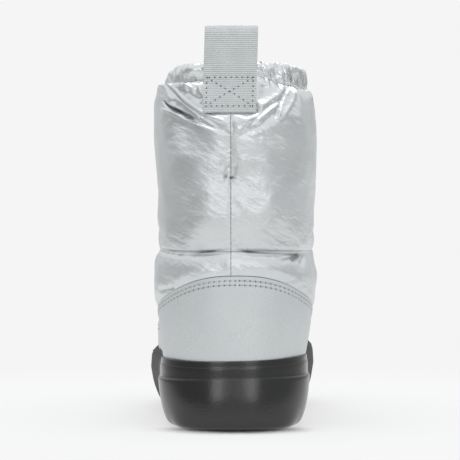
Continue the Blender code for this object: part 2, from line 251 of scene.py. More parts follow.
# Pull loop: the two legs of the folded tape, and its box of stitches.
LOOP_FOOT = 176.5
LOOP_FOOT_LIFT = 3.1
LOOP_FOOT_RUN = 7.0
LOOP_INNER_END = 181.0
LOOP_INNER_FLARE = 0.6
LOOP_BEND = 5.0
FINGER_ROOM = 1.5
LOOP_BOX = (179.9, 196.7)
LOOP_BOX_HALF = 13.0
TAPE_EDGE_ROUND = 8
TAPE_STEP = 0.2
YARN_PITCH = 0.62
LOOP_THREAD_SHARE = 0.8
NEEDLE_HOLE_LENGTH = 1.0
NEEDLE_HOLE_SHARE = 1.3

# Edge of the footbed: how high each ring lies, as a share of the thickness, and how far it is set in.
FOOTBED_EDGE = {0: 0.8, 0.08: 0.2, 0.24: 0, 0.72: 0, 0.9: 0.3, 0.98: 1.0, 1: 2.2}
FOOTBED_LEVEL = 24.0

# Creases of the shell. side 0 has its points on the back as x and height; -1 is the outer and 1 the
# inner side, with points as distance from the heel end and height. lift is how far the fold stands
# out, and left and right are its widths to the two sides of its run.
Fold = namedtuple("Fold", "side lift left right points")
FOLD_ROUND = 0.35
FOLD_REACH = 3
FOLD_MARGIN = 5.0
FOLD_HEAD_FADE = 0.2
FOLD_HEAD_HELD = 0.25
FOLD_TAIL_FADE = 0.25
FOLD_TAIL_HELD = 0.2
SHELL_FOLDS = {
    "shaft lip": Fold(0, 1.1, 0.6, 1.8, (
        (-39.6, 180.6), (-38.4, 179.9), (-33.8, 177.4), (-28.3, 173.6), (-22.4, 170.9), (-18.1, 169.1),
        (-12.9, 166.5), (-8.7, 164.5), (-5.5, 163.4), (-1.9, 163.6))),
    "slit": Fold(0, -2.9, 0.6, 0.4, (
        (-38.4, 184.2), (-36.3, 181.7), (-34.3, 179.9), (-30.5, 177.4), (-27, 175.4), (-22.5, 173.2))),
    "low slit": Fold(0, -1, 1.3, 0.7, (
        (-28, 176), (-20.3, 172), (-15.5, 169.6), (-10.2, 167), (-5.5, 165.1), (-2.4, 165.3))),
    "pipe": Fold(0, 1.5, 0.9, 0.8, (
        (-34.3, 195.3), (-32.4, 190.6), (-29.9, 187.2), (-26.6, 183.2), (-22.9, 180), (-16.6, 175.6),
        (-11.8, 173), (-6.6, 171), (-2.4, 169.5))),
    "pipe line": Fold(0, -1, 0.8, 0.6, (
        (-35, 194.3), (-33.8, 190.5), (-30.8, 186), (-26.7, 181.4), (-21.9, 177.8), (-16.6, 173.9),
        (-13.2, 172), (-8.7, 169), (-4.5, 167.1))),
    "inner pipe": Fold(0, 0.6, 0.7, 0.7, ((-17.4, 173.3), (-13.4, 169.6), (-8.7, 166.2), (-5, 164.7))),
    "cross tuck": Fold(0, 0.8, 0.7, 0.7, ((-19.7, 171.7), (-17.1, 174.2))),
    "oval pad": Fold(0, 1.5, 2.2, 2.2, ((-35.6, 189.6), (-34.1, 185.7), (-31.6, 181.8))),
    "outer hollow": Fold(0, -0.8, 1.2, 1.2, ((-39, 194), (-38.2, 188.9), (-36.1, 183.7))),
    "cuff crease": Fold(0, 1.12, 0.8, 1.2, ((-33.8, 193.4), (-28.8, 193.2), (-23.4, 193.4), (-19.7, 194.1))),
    "pouch fold": Fold(0, 1.5, 0.9, 0.9, ((-25.6, 192.4), (-23.4, 190), (-20.5, 187.7))),
    "pouch shadow": Fold(0, -1.2, 1.5, 1.5, ((-25.1, 188.9), (-21.4, 185.6), (-17.6, 183.5))),
    "inner fold": Fold(0, 1.1, 1.0, 2.2, (
        (26.9, 192.8), (25.8, 189.7), (23.5, 185.7), (20.6, 183.8), (17.8, 181.9), (14.3, 179.2),
        (12.1, 176.9), (9.1, 173.5), (6.5, 170.1), (3.9, 166.7))),
    "inner fold shadow": Fold(0, -1.2, 1.4, 0.9, (
        (28.4, 190.9), (26.9, 187.1), (24, 183.3), (20.1, 180.7), (16.1, 177.2), (12.7, 173.5),
        (9.6, 170.1), (6.5, 166.7))),
    "middle fold": Fold(0, 1.1, 1, 1.8, ((24.3, 182.2), (20.1, 178.4), (15.4, 173.8), (10.1, 168.4))),
    "middle valley": Fold(0, -0.9, 2.2, 1.4, (
        (22.2, 177.6), (17.4, 172.4), (12.2, 167.9), (7, 165.1), (1.8, 161.7))),
    "hairpin left": Fold(0, 1.1, 0.8, 0.6, ((29.8, 189.6), (26.9, 185.1), (24.3, 179.1), (22.1, 171.9))),
    "hairpin right": Fold(0, 1.2, 0.6, 1.4, ((32.2, 189.1), (30.4, 183), (26.4, 176), (23.4, 170.8))),
    "hairpin shadow": Fold(0, -0.9, 0.9, 0.9, ((27.7, 186.8), (25.1, 182.2), (22.4, 176.5), (20.3, 171.9))),
    "right pad": Fold(0, 0.9, 3.5, 4.0, ((34.6, 189), (34.4, 179.8), (32.2, 170.6))),
    "tape hollow": Fold(0, -1.0, 2.2, 2.2, ((16.3, 191.7), (15.1, 186.5), (12.7, 181.4))),
    "seam top": Fold(0, -1.0, 1.0, 1.0, ((-1.9, 175.2), (-1.6, 170.1), (-1.1, 165.6))),
    "seam pull": Fold(0, -0.7, 2.6, 2.6, ((-2.1, 166.0), (-2.1, 140.0), (-2.1, 120.0), (-2.1, 100.0))),
    "right wrinkle": Fold(0, 0.22, 1.6, 2.2, ((4, 139.2), (9, 138.2), (14, 137.4))),
    "right stroke": Fold(0, 0.45, 0.7, 1.3, ((13.5, 161.4), (17, 161), (21, 159.6))),
    "seam streak": Fold(0, 0.3, 0.8, 1.4, ((0.7, 155.7), (3.5, 152), (6.3, 147.3))),
    "low streak": Fold(0, 0.45, 0.8, 1.4, ((-0.6, 130), (2.6, 127), (5.6, 122.4), (3.6, 119.6))),
    "left pinhole": Fold(0, -3.0, 0.7, 0.7, ((-5.4, 141), (-4, 140.8))),
    "right pinhole": Fold(0, -3.0, 0.6, 0.6, ((-1.9, 141), (-1.6, 139.4))),
    "pucker 1": Fold(0, -1.1, 0.5, 0.5, ((-8.1, 147.8), (-5, 146.8), (-2.6, 146.2))),
    "pucker 2": Fold(0, -1.1, 0.5, 0.5, ((-5.2, 143.5), (-2.6, 143.1))),
    "pucker 3": Fold(0, -0.6, 0.5, 0.5, ((-1.1, 146), (1.8, 147))),
    "pucker 4": Fold(0, -0.6, 0.5, 0.5, ((-1.1, 143.6), (1.3, 144.6))),
    "pucker 5": Fold(0, -0.5, 0.5, 0.5, ((-1.1, 141.6), (1, 142.2))),
    "hook": Fold(0, 0.45, 0.8, 0.8, ((-0.8, 105.4), (1.8, 103.7), (2.2, 102), (-0.1, 101.3))),
    "ankle line 1": Fold(0, -1, 0.4, 0.5, (
        (-40.4, 101), (-36.4, 99.7), (-33.1, 98.8), (-27.6, 98.4), (-18.1, 98.7), (-10.2, 99.4),
        (-2.9, 99.9))),
    "ankle line 2": Fold(0, -1.3, 0.5, 0.4, (
        (-41.8, 99.1), (-36.4, 97.7), (-29.8, 96.6), (-23.4, 96.5), (-12.8, 97.3), (-2.9, 98.4))),
    "ankle wedge": Fold(0, -1.7, 0.7, 0.7, (
        (1.8, 99.4), (9.1, 98.8), (17.4, 98.4), (26.8, 97.8), (34.3, 97.2), (38.1, 97.3))),
    "ankle line 3": Fold(0, -1.0, 0.5, 0.5, ((-0.3, 97.4), (8, 97.1), (18.4, 96.8), (28.9, 96.2))),
    "fan 1": Fold(0, -1.4, 0.6, 0.6, ((37.8, 97.2), (33.7, 95.9), (28.9, 94.5), (24.2, 93.2))),
    "fan 2": Fold(0, -1.6, 0.6, 0.6, ((37.8, 96.9), (34.3, 94.7), (30, 93))),
    "fan 3": Fold(0, -1.2, 0.6, 0.6, ((38.9, 96.6), (37, 93.8), (34.8, 91.6))),
    "brow": Fold(0, 0.5, 1.6, 2.0, ((2, 101.4), (14, 101.8), (26, 101.6), (38, 101))),
    "low seam side": Fold(0, 0.4, 1.4, 1.4, ((-3.4, 96.5), (-3.7, 91.5), (-4.2, 86.5))),
    "seam slant": Fold(0, 0.35, 0.9, 0.9, ((-0.8, 91), (1.8, 89), (4.1, 87.1))),
    "slant 1": Fold(0, -0.45, 1.1, 1.1, ((25.7, 81.7), (30, 82.5), (33.7, 83.6))),
    "slant 2": Fold(0, -0.35, 1.1, 1.1, ((31, 78.2), (35.8, 79.2))),
    "left wedge": Fold(0, -1.8, 0.7, 0.7, ((-39.5, 76.9), (-35.2, 77.5), (-31.9, 78.5))),
    "outer drag": Fold(-1, -0.9, 3.0, 4.0, ((38, 108), (62, 113), (92, 110))),
    "inner drag": Fold(1, -0.9, 3.0, 4.0, ((36, 109), (66, 112), (96, 108))),
    "outer crease": Fold(-1, -0.9, 2.6, 2.6, ((54, 139), (76, 133), (104, 136))),
    "inner crease": Fold(1, -0.8, 2.6, 2.6, ((54, 143), (78, 137), (108, 133))),
    "outer flex": Fold(-1, -1.2, 3.0, 3.0, ((128, 66), (148, 78), (168, 88))),
    "inner flex": Fold(1, -1.2, 3.0, 3.0, ((132, 66), (152, 78), (170, 88))),
    "outer toe flex": Fold(-1, -0.9, 2.6, 2.6, ((162, 62), (182, 74), (196, 83))),
    "inner toe flex": Fold(1, -0.9, 2.6, 2.6, ((168, 62), (188, 74), (200, 82))),
}

# Broad forms of the shell: pillows stand out, and the waist and hollows fall back. place is x on the
# back, or the distance from the heel end on a side; wide and tall are how far the form reaches.
Swell = namedtuple("Swell", "side place height lift wide tall")
SHELL_SWELLS = {
    "upper pillow": Swell(0, 8, 174, 2.3, 36, 15),
    "under lip": Swell(0, -28, 170, -4.0, 15, 12),
    "tape seat": Swell(0, -3, 181, -3.6, 20, 8),
    "brow of the point": Swell(0, 0, 168, 1.2, 18, 9),
    "left pillow": Swell(0, -26, 136, 1.0, 22, 20),
    "waist": Swell(0, -7, 139, -1.1, 14, 12),
    "seam dimple": Swell(0, -2.1, 139.5, -0.8, 12, 8),
    "low right pillow": Swell(0, 26, 119, 1.7, 17, 12),
    "low middle pillow": Swell(0, -9, 112, 0.8, 11, 8),
    "low left pillow": Swell(0, -30, 108, 0.8, 18, 9),
    "right rise": Swell(0, 11, 150, 0.9, 10, 10),
    "inner shoulder": Swell(1, 50, 186, -2.3, 42, 10),
    "inner side": Swell(1, 50, 160, -0.9, 42, 14),
    "inner ankle": Swell(1, 48, 94, -1.2, 36, 8),
    "outer side": Swell(-1, 46, 114, 0.9, 40, 16),
    "outer ankle": Swell(-1, 46, 94, 0.8, 36, 6),
    "outer brim": Swell(-1, 46, 191.4, 3.0, 42, 3.0),
}

# Crumple of the cloth: wavelength, height and seed of each layer of small waves.
Crumple = namedtuple("Crumple", "wave height seed")
SHELL_CRUMPLE = (Crumple(38, 1.3, 3.7), Crumple(17, 0.9, 11.3), Crumple(9, 0.4, 23.9))
CUFF_CRUMPLE = (Crumple(10, 2.2, 4.4), Crumple(4.5, 0.9, 9.1))
RAND_CRUMPLE = Crumple(17, 0.16, 5.1)

# Stage, in metres. PAPER is where the pale paper on the floor fades: towards the camera, to the sides of
# its own middle, and, beyond the boot, where it fills the whole width again. The camera's sensor is in
# millimetres.
FLOOR_HALF = 6.0
FLOOR_DROP = 0.0002
FLOOR_BLEND = (0.22, 0.5)
SHADE_EDGE = (0.58, 0.76)
SHADE_RUN = (0.0, 0.03)
PAPER_NEAR = (-0.9, -0.4)
PAPER_MIDDLE = 0.15
PAPER_SIDE = (0.45, 0.85)
PAPER_FAR = (1.45, 1.75)
Softbox = namedtuple("Softbox", "place width height power")
SOFTBOXES = {
    "left_softbox": Softbox((-0.46, -2.3, 0.56), 0.45, 0.6, "softbox_power"),
    "right_softbox": Softbox((0.46, -2.3, 0.56), 0.45, 0.6, "softbox_power"),
    "top_softbox": Softbox((0.0, 0.1, 1.9), 1.2, 1.2, "top_power"),
}
LIGHT_AIM = (0, 0, 0.1)
SENSOR_WIDTH = 36

# Sewing: the step along a sewn line, how far threads stand out, half the stretch that gives a stitch its
# direction, and a stitch's height for its width.
SEWN_STEP = 0.7
THREAD_RISE = 0.05
TAPE_THREAD_RISE = 0.1
BEAD_STEP = 0.3
BEAD_HEIGHT = 0.35

# Faceting. RAND_ROW_POWER crowds the rand's rows towards its edge, and RAND_BACK_MAP keeps the map of its
# back clear of the needle holes.
PLAN_POINTS = 721
FINE_POINTS = 6001
BACK_POINTS = 1601
BACK_REACH = 1.7
LIP_POINTS = 1441
BEND_POINTS = 13
SHELL_COLUMNS = 540
SHELL_BACK_SHARE = 2.0
RAND_COVER_ROWS = 6
VAMP_ROWS = 28
SHAFT_ROWS = 76
COLLAR_ROWS = 46
WALL_ROWS = 6
LINING_ROWS = 40
RAND_COLUMNS = 420
RAND_FACE_ROWS = 36
RAND_BACK_ROWS = 6
RAND_ROW_POWER = 0.7
RAND_BACK_MAP = 40.0
SOLE_COLUMNS = 360
TREAD_STRIPS = 30
CUP_STRIPS = 10
FOOTBED_COLUMNS = 240
FOOTBED_STRIPS = 24
CUFF_COLUMNS = 900
CUFF_CORNERS = 28
TAPE_ROWS = 480
TAPE_COLUMNS = 27


def smooth_curve(x, knots, values):
    """A cubic curve through the knots, with each slope taken from the neighbours."""
    knots, values = np.asarray(knots, float), np.asarray(values, float)
    slopes = np.gradient(values, knots)
    x = np.clip(x, knots[0], knots[-1])
    i = np.clip(np.searchsorted(knots, x) - 1, 0, len(knots) - 2)
    span = knots[i + 1] - knots[i]
    t = (x - knots[i]) / span
    from_start = values[i] * (1 + 2 * t) + slopes[i] * span * t
    from_end = values[i + 1] * (3 - 2 * t) - slopes[i + 1] * span * (1 - t)
    return from_start * (1 - t) ** 2 + from_end * t**2


def line_height(line, along):
    return smooth_curve(along, list(line), list(line.values()))


def ease(t):
    t = np.clip(t, 0, 1)
    return t * t * (3 - 2 * t)


def within(run, stretch):
    """1 inside a stretch, with a soft fall to 0 at each end."""
    return ease((run - stretch.start) / stretch.rise) * ease((stretch.end - run) / stretch.fall)


def bell(run, rise):
    """A smooth rise at one place of a run."""
    return rise.size * np.exp(-(((run - rise.place) / rise.reach) ** 2))


def section_at(height):
    """The last's measures at these heights, by column name."""
    heights = [row.height for row in LAST]
    return Section(height, *(smooth_curve(height, heights, column) for column in list(zip(*LAST))[1:]))


def end_round(distance, length, squareness):
    """The share of the full width this far from the end of a section."""
    left = 1 - np.clip(distance / length, 0, 1)
    return (1 - left**squareness) ** (1 / squareness)


def plan_point(section, angle):
    """x and y on a level section, angle 0 at the heel and growing towards the inner side."""
    side = np.where(np.sin(angle) < 0, -1, 1)
    y = section.back + (section.front - section.back) * (1 - np.cos(angle)) / 2
    ball = np.where(side < 0, BALL_STATION[-1], BALL_STATION[1])
    half = section.heel + (section.ball - section.heel) * ease((y - HEEL_STATION) / (ball - HEEL_STATION))
    waist = np.clip(1 - ((y - ARCH_STATION) / ARCH_SPAN) ** 2, 0, 1) ** 2
    half = half - section.arch_cut * waist * (side > 0)
    half = half * end_round(y - section.back, section.back_round, HEEL_SQUARENESS)
    half = half * end_round(section.front - y, section.front_round, TOE_SQUARENESS)
    swing = TOE_SWING * np.clip((y - SWING_START) / (SOLE_LENGTH - SWING_START), 0, 1) ** 2
    lean = SHAFT_LEAN * ease((section.height - LEAN_START) / (LEAN_END - LEAN_START))
    return np.stack([swing + lean + side * half, y], axis=-1)


def last_point(height, angle):
    height, angle = np.broadcast_arrays(np.asarray(height, float), np.asarray(angle, float))
    plan = plan_point(section_at(height), angle)
    return np.concatenate([plan, height[..., None]], axis=-1)


def last_normal(height, angle):
    """The outward unit normal of the last."""
    step_up, step_round = 0.5, 0.01
    up = last_point(height + step_up, angle) - last_point(height - step_up, angle)
    around = last_point(height, angle + step_round) - last_point(height, angle - step_round)
    normal = np.cross(around, up)
    return normal / np.linalg.norm(normal, axis=-1, keepdims=True)


def over_last(height, angle, out):
    """A point this far outside the last."""
    return last_point(height, angle) + last_normal(height, angle) * np.asarray(out)[..., None]


def nominal_along(angle):
    """How far along the boot a column lies, for reading the lines round it."""
    return SOLE_LENGTH * (1 - np.cos(angle)) / 2


def offset_ring(ring, distance):
    """A closed ring of x, y points moved outwards in plan by a distance."""
    tangent = np.roll(ring, -1, axis=0) - np.roll(ring, 1, axis=0)
    normal = np.stack([tangent[:, 1], -tangent[:, 0]], axis=-1)
    return ring + normal / np.linalg.norm(normal, axis=-1, keepdims=True) * np.reshape(distance, (-1, 1))


def underside(along):
    """Height of the tread: zero under heel and forefoot."""
    arch = np.clip(1 - ((along - ARCH_MIDDLE) / ARCH_HALF_LENGTH) ** 2, 0, 1) ** 2
    toe = np.clip((along - TOE_SPRING_START) / (SOLE_LENGTH - TOE_SPRING_START), 0, 1) ** 2
    return ARCH_RISE * arch + TOE_SPRING * toe


def run_length(points):
    """Distance covered on reaching each point of a line."""
    return np.concatenate([[0.0], np.cumsum(np.linalg.norm(np.diff(points, axis=0), axis=1))])


def frame_origin():
    """The middle of the sole in plan, which is where the part's own origin lies."""
    plan = plan_point(SOLE_PLAN, np.linspace(0, 2 * math.pi, PLAN_POINTS))
    return (plan.min(axis=0) + plan.max(axis=0)) / 2


ORIGIN = np.append(frame_origin(), 0.0)


def placed(points):
    """Millimetres from the heel end turned into metres in the part's frame."""
    return (np.asarray(points, float) - ORIGIN) * MM


def even_angles(count, section, back_share=1.0):
    """Column angles that lie evenly round a section, or this many times closer at the back."""
    fine = np.linspace(0, 2 * math.pi, FINE_POINTS)
    steps = np.diff(run_length(plan_point(section, fine)))
    weight = 1 + (back_share - 1) * ease(0.5 + 1.5 * np.cos(fine[1:]))
    run = np.concatenate([[0.0], np.cumsum(steps * weight)])
    return np.interp(np.arange(count) * run[-1] / count, run, fine)


def shell_angles():
    return even_angles(SHELL_COLUMNS, section_at(SHAFT_MIDDLE), SHELL_BACK_SHARE)


def collar_run(angle):
    """Signed distance round the collar from the middle of the heel, growing towards the inner side."""
    fine = np.linspace(-math.pi, math.pi, FINE_POINTS)
    run = run_length(plan_point(section_at(COLLAR_HEIGHT), fine))
    return np.interp((angle + math.pi) % (2 * math.pi) - math.pi, fine, run - run[-1] / 2)


def back_angle(x, height):
    """The column angle of a place on the back, from its distance to the middle."""
    fine = np.linspace(-BACK_REACH, BACK_REACH, BACK_POINTS)
    return np.interp(x, plan_point(section_at(height), fine)[:, 0], fine)


def side_angle(along, height, side):
    """The column angle of a place on one side, from its distance to the heel end."""
    section = section_at(height)
    share = np.clip((along - section.back) / (section.front - section.back), 0, 1)
    return side * np.arccos(1 - 2 * share)


def waves(points, wave, seed):
    """Soft noise of one wavelength at each point."""
    scaled = points.reshape(-1, 3) / wave + seed
    values = [noise.noise(Vector(point)) for point in scaled]
    return np.reshape(values, points.shape[:-1])


def fold_line(fold):
    """A fold's run on the last, as a smooth line of points."""
    points = np.asarray(fold.points, float)
    run = run_length(points)
    steps = np.linspace(0, run[-1], 4 * len(points))
    place, height = (smooth_curve(steps, run, points[:, axis]) for axis in (0, 1))
    if fold.side:
        angle = [side_angle(p, h, fold.side) for p, h in zip(place, height)]
    else:
        angle = [back_angle(p, h) for p, h in zip(place, height)]
    return last_point(height, np.array(angle))


def fold_lift(fold, points, normals):
    """How far a fold moves each point along its normal: most on its line, fading to the sides and ends."""
    line = fold_line(fold)
    run = run_length(line)
    reach = FOLD_REACH * max(fold.left, fold.right) + FOLD_MARGIN
    near = np.all((points > line.min(axis=0) - reach) & (points < line.max(axis=0) + reach), axis=-1)
    lift = np.zeros(points.shape[:-1])
    spots, facing = points[near], normals[near]
    best = np.full(len(spots), np.inf)
    turn, share = np.zeros(len(spots)), np.zeros(len(spots))
    for start, end, passed in zip(line, line[1:], run):
        span = end - start
        along = np.clip((spots - start) @ span / (span @ span), 0, 1)
        offset = spots - start - along[:, None] * span
        offset = offset - np.sum(offset * facing, axis=1, keepdims=True) * facing
        distance = np.linalg.norm(offset, axis=1)
        closer = distance < best
        best = np.where(closer, distance, best)
        turn = np.where(closer, np.sum(np.cross(span, offset) * facing, axis=1), turn)
        share = np.where(closer, (passed + along * np.linalg.norm(span)) / run[-1], share)
    width = np.where(turn > 0, fold.left, fold.right)
    head = ease(share / FOLD_HEAD_FADE + FOLD_HEAD_HELD)
    ends = head * ease((1 - share) / FOLD_TAIL_FADE + FOLD_TAIL_HELD)
    lift[near] = fold.lift * np.exp(FOLD_ROUND - np.hypot(best / width, FOLD_ROUND)) * ends
    return lift


def swell_lift(swell, points, normals):
    """How far a broad form moves each point along its normal."""
    if swell.side:
        angle = side_angle(swell.place, swell.height, swell.side)
    else:
        angle = back_angle(swell.place, swell.height)
    offset = points - last_point(swell.height, angle)
    same_side = np.clip(normals @ last_normal(swell.height, angle), 0, 1) ** 0.5
    across = np.linalg.norm(offset[..., :2], axis=-1) / swell.wide
    return swell.lift * same_side * np.exp(-(across**2) - (offset[..., 2] / swell.tall) ** 2)


def pleat_profile(run):
    """Gathers of the cuff at a distance round the collar: round crests between narrow valleys."""
    draw = np.random.default_rng(PLEAT_SEED)
    edges = [-PLEAT_END]
    while edges[-1] < PLEAT_END:
        tight = TIGHT_START < edges[-1] < TIGHT_END
        edges.append(edges[-1] + draw.uniform(*PLEAT_WIDTHS) * (1 if tight else LOOSE_SHARE))
    edges = np.array(edges)
    heights = draw.uniform(*PLEAT_HEIGHTS, len(edges))
    index = np.clip(np.searchsorted(edges, run) - 1, 0, len(edges) - 2)
    share = (run - edges[index]) / (edges[index + 1] - edges[index])
    return heights[index] * (1 - np.abs(2 * share - 1) ** PLEAT_ROUND) - PLEAT_SINK


def pleat_strength(run):
    """How far the casing is gathered: less on the outer side of the loop and behind its tape."""
    smooth = SMOOTH_SHARE * within(run, SMOOTH_CASING)
    return (1 - smooth) * (1 - BEHIND_TAPE_SHARE * within(run, BEHIND_TAPE))


def grid_mesh(name, points, uvs=None, tags=None, round_columns=True, round_rows=False):
    """A flat grid moved onto rows of points in millimetres, with a UV map and named values."""
    points = np.asarray(points, float)
    if round_columns:
        points = np.concatenate([points, points[:, :1]], axis=1)
    if round_rows:
        points = np.concatenate([points, points[:1]], axis=0)
    rows, columns = points.shape[:2]
    shape = bmesh.new()
    bmesh.ops.create_grid(shape, x_segments=columns - 1, y_segments=rows - 1, size=0.5)
    mesh = bpy.data.meshes.new(name)
    shape.to_mesh(mesh)
    shape.free()
    mesh.vertices.foreach_set("co", placed(points).astype(np.float32).ravel())
    if uvs is not None:
        corners = np.zeros(len(mesh.loops), np.int32)
        mesh.loops.foreach_get("vertex_index", corners)
        layer = mesh.uv_layers.new(name="UVMap")
        layer.data.foreach_set("uv", np.asarray(uvs, np.float32).reshape(-1, 2)[corners].ravel())
    for tag, values in (tags or {}).items():
        if round_columns:
            values = np.concatenate([values, values[:, :1]], axis=1)
        if round_rows:
            values = np.concatenate([values, values[:1]], axis=0)
        attribute = mesh.attributes.new(tag, "FLOAT", "POINT")
        attribute.data.foreach_set("value", np.asarray(values, np.float32).ravel())
    return mesh


def closed_mesh(name, meshes):
    """One mesh from several that meet at their edges, with the seams merged and open ends filled."""
    shape = bmesh.new()
    for mesh in meshes:
        shape.from_mesh(mesh)
    bmesh.ops.remove_doubles(shape, verts=shape.verts, dist=WELD)
    bmesh.ops.dissolve_degenerate(shape, edges=shape.edges, dist=WELD)
    bmesh.ops.holes_fill(shape, edges=[edge for edge in shape.edges if edge.is_boundary], sides=0)
    bmesh.ops.recalc_face_normals(shape, faces=shape.faces)
    made = meshes[0]
    shape.to_mesh(made)
    shape.free()
    made.name = name
    for mesh in meshes[1:]:
        bpy.data.meshes.remove(mesh)
    return made


def strips_across(ring, count):
    """Rows of points across a closed ring, from each column to its partner on the other side."""
    half = len(ring) // 2
    partners = ring[-np.arange(half + 1) % len(ring)]
    share = np.linspace(0, 1, count + 1)[None, :, None]
    return ring[: half + 1, None] * (1 - share) + partners[:, None] * share


def add_piece(name, mesh, material, slot, *nodes):
    """Makes a finished mesh a piece of the boot, in the place of these nodes."""
    mesh.shade_smooth()
    mesh.materials.append(material)
    piece = bpy.data.objects.new(name, mesh)
    bpy.context.scene.collection.objects.link(piece)
    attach(piece, BODY)
    if nodes:
        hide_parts(*nodes)
    return piece


class Value:
    """An output of a shader node that takes part in arithmetic."""

    def __init__(self, shader, socket):
        self.shader = shader
        self.socket = socket

    def math(self, operation, *values):
        return self.shader.node("ShaderNodeMath", {"operation": operation}, dict(enumerate(values)))

    def __add__(self, other):
        return self.math("ADD", self, other)

    def __sub__(self, other):
        return self.math("SUBTRACT", self, other)

    def __rsub__(self, other):
        return self.math("SUBTRACT", other, self)

    def __mul__(self, other):
        return self.math("MULTIPLY", self, other)

    def __truediv__(self, other):
        return self.math("DIVIDE", self, other)

    def __pow__(self, other):
        return self.math("POWER", self, other)

    __radd__ = __add__
    __rmul__ = __mul__

    def fraction(self):
        return self.math("FRACT", self)

    def size(self):
        return self.math("ABSOLUTE", self)

    def cosine(self):
        return self.math("COSINE", self)

    def band(self, low, high):
        """0 below low and 1 above high, with a soft change between."""
        inputs = {"Value": self, "From Min": low, "From Max": high}
        return self.shader.node("ShaderNodeMapRange", {"interpolation_type": "SMOOTHSTEP"}, inputs)


class NodeTree:
    """A tree of shader nodes."""

    def __init__(self, tree):
        self.tree = tree

    def node(self, kind, settings, inputs, output=0):
        made = self.tree.nodes.new(kind)
        for name, value in settings.items():
            setattr(made, name, value)
        for name, value in inputs.items():
            self.feed(made.inputs[name], value)
        return Value(self, made.outputs[output])

    def feed(self, socket, value):
        if isinstance(value, Value):
            self.tree.links.new(value.socket, socket)
        else:
            socket.default_value = value

    def axis(self, vector, name):
        return self.node("ShaderNodeSeparateXYZ", {}, {0: vector}, name)

    def camera_ray(self):
        """1 where the camera looks straight at the surface or the sky."""
        return self.node("ShaderNodeLightPath", {}, {}, "Is Camera Ray")

    def mix(self, share, first, second):
        """A colour between two others."""
        return self.node("ShaderNodeMix", {"data_type": "RGBA"}, {0: share, 6: first, 7: second}, 2)


class Finish(NodeTree):
    """One material: its node tree and the shader that the tree feeds."""

    def __init__(self, name, **constants):
        self.material = bpy.data.materials.new(name)
        self.material.use_nodes = True
        super().__init__(self.material.node_tree)
        self.shader = self.tree.nodes["Principled BSDF"]
        self.set(**constants)

    def set(self, **inputs):
        """Sets or links the shader's sockets, named with underscores for spaces."""
        for name, value in inputs.items():
            self.feed(self.shader.inputs[name.replace("_", " ")], value)

    def place(self):
        return self.node("ShaderNodeTexCoord", {}, {}, "Object")

    def uv(self, axis):
        """One axis of the piece's own map, in millimetres."""
        return self.axis(self.node("ShaderNodeUVMap", {}, {}), axis)

    def tag(self, name):
        return self.node("ShaderNodeAttribute", {"attribute_name": name}, {}, "Fac")

    def stretched(self, x, y, z, slant=0.0):
        """The piece's own coordinates, turned about the boot's length and scaled along each axis."""
        turned = self.node("ShaderNodeMapping", {}, {"Vector": self.place(), "Rotation": (0, slant, 0)})
        return self.node("ShaderNodeMapping", {}, {"Vector": turned, "Scale": (x, y, z)})

    def noise(self, wave, detail=2.0, vector=None, distortion=0.0):
        """Noise whose waves are this long, in millimetres."""
        inputs = {"Vector": vector or self.place(), "Scale": 1 / (wave * MM), "Detail": detail}
        return self.node("ShaderNodeTexNoise", {}, {**inputs, "Distortion": distortion})

    def cells(self, wave):
        """Distance to the nearest of many scattered points this far apart, in millimetres."""
        return self.node("ShaderNodeTexVoronoi", {}, {"Vector": self.place(), "Scale": 1 / (wave * MM)})

    def bump(self, height, depth, below=None):
        """A normal for relief of this depth in millimetres, over an earlier one."""
        inputs = {"Strength": 1.0, "Distance": depth * MM, "Height": height}
        if below:
            inputs["Normal"] = below
        return self.node("ShaderNodeBump", {}, inputs)


def rgba(colour, share=1.0):
    return (*(share * channel for channel in colour), 1.0)


def silver_cloth(name, silver, seamed):
    """Thin metal-coated cloth: bright and softly mottled, with painted shade in its deep creases, finely
    crinkled, drawn up along a sewn seam.
    """
    finish = Finish(name, Metallic=1.0, Specular_IOR_Level=0.5)
    mottle = finish.noise(24, 3.0)
    crinkle = finish.noise(8, 3.0, vector=finish.stretched(0.8, 0.8, 1.25), distortion=0.7)
    fine = finish.noise(2.4, 2.0, vector=finish.stretched(0.7, 0.7, 1.4))
    streak = finish.noise(3.4, 2.0, vector=finish.stretched(0.35, 0.35, 1.2, math.radians(-28)))
    height = finish.axis(finish.place(), "Z") / MM
    weave = finish.noise(0.5, 1.0)
    tone = finish.mix(mottle.band(0.3, 0.7), rgba(silver, 0.95), rgba(silver, 1.04))
    # Painted shade: the cloth darkens towards 0.4 of its silver where its creases are deep.
    tone = finish.mix(finish.tag("crease").band(0.6, 2.8), tone, rgba(silver, 0.4))
    normal = finish.bump(streak, 0.42, finish.bump(crinkle, 0.5))
    normal = finish.bump(fine, 0.05, normal)
    if seamed:
        away = finish.tag("seam").size()
        line = 1 - away.band(0.06, 0.3)
        low, high = ((height - level).size().band(5, 12) for level in SEAM_DRAWN)
        drawn = (2 - low - high) * (1 - away.band(0.3, 4.5)) * (1 - 0.7 * finish.tag("seam").band(-0.3, 0.3))
        phase = height * (2 * math.pi / SEAM_PITCH)
        pull = (phase + 9 * finish.noise(7)).cosine() * drawn * finish.noise(4)
        stitch = phase.cosine().band(-0.3, 0.5)
        tone = finish.mix(line * (0.05 + 0.4 * stitch), tone, rgba(silver, 0.15))
        normal = finish.bump(1 - line, 0.3, finish.bump(pull, 0.2, normal))
    among_folds = height.band(*FOLD_BELT)
    finish.set(Base_Color=tone, Roughness=0.34 - 0.11 * among_folds + 0.1 * mottle + 0.04 * weave)
    finish.set(Normal=finish.bump(weave, 0.012, normal))
    return finish.material


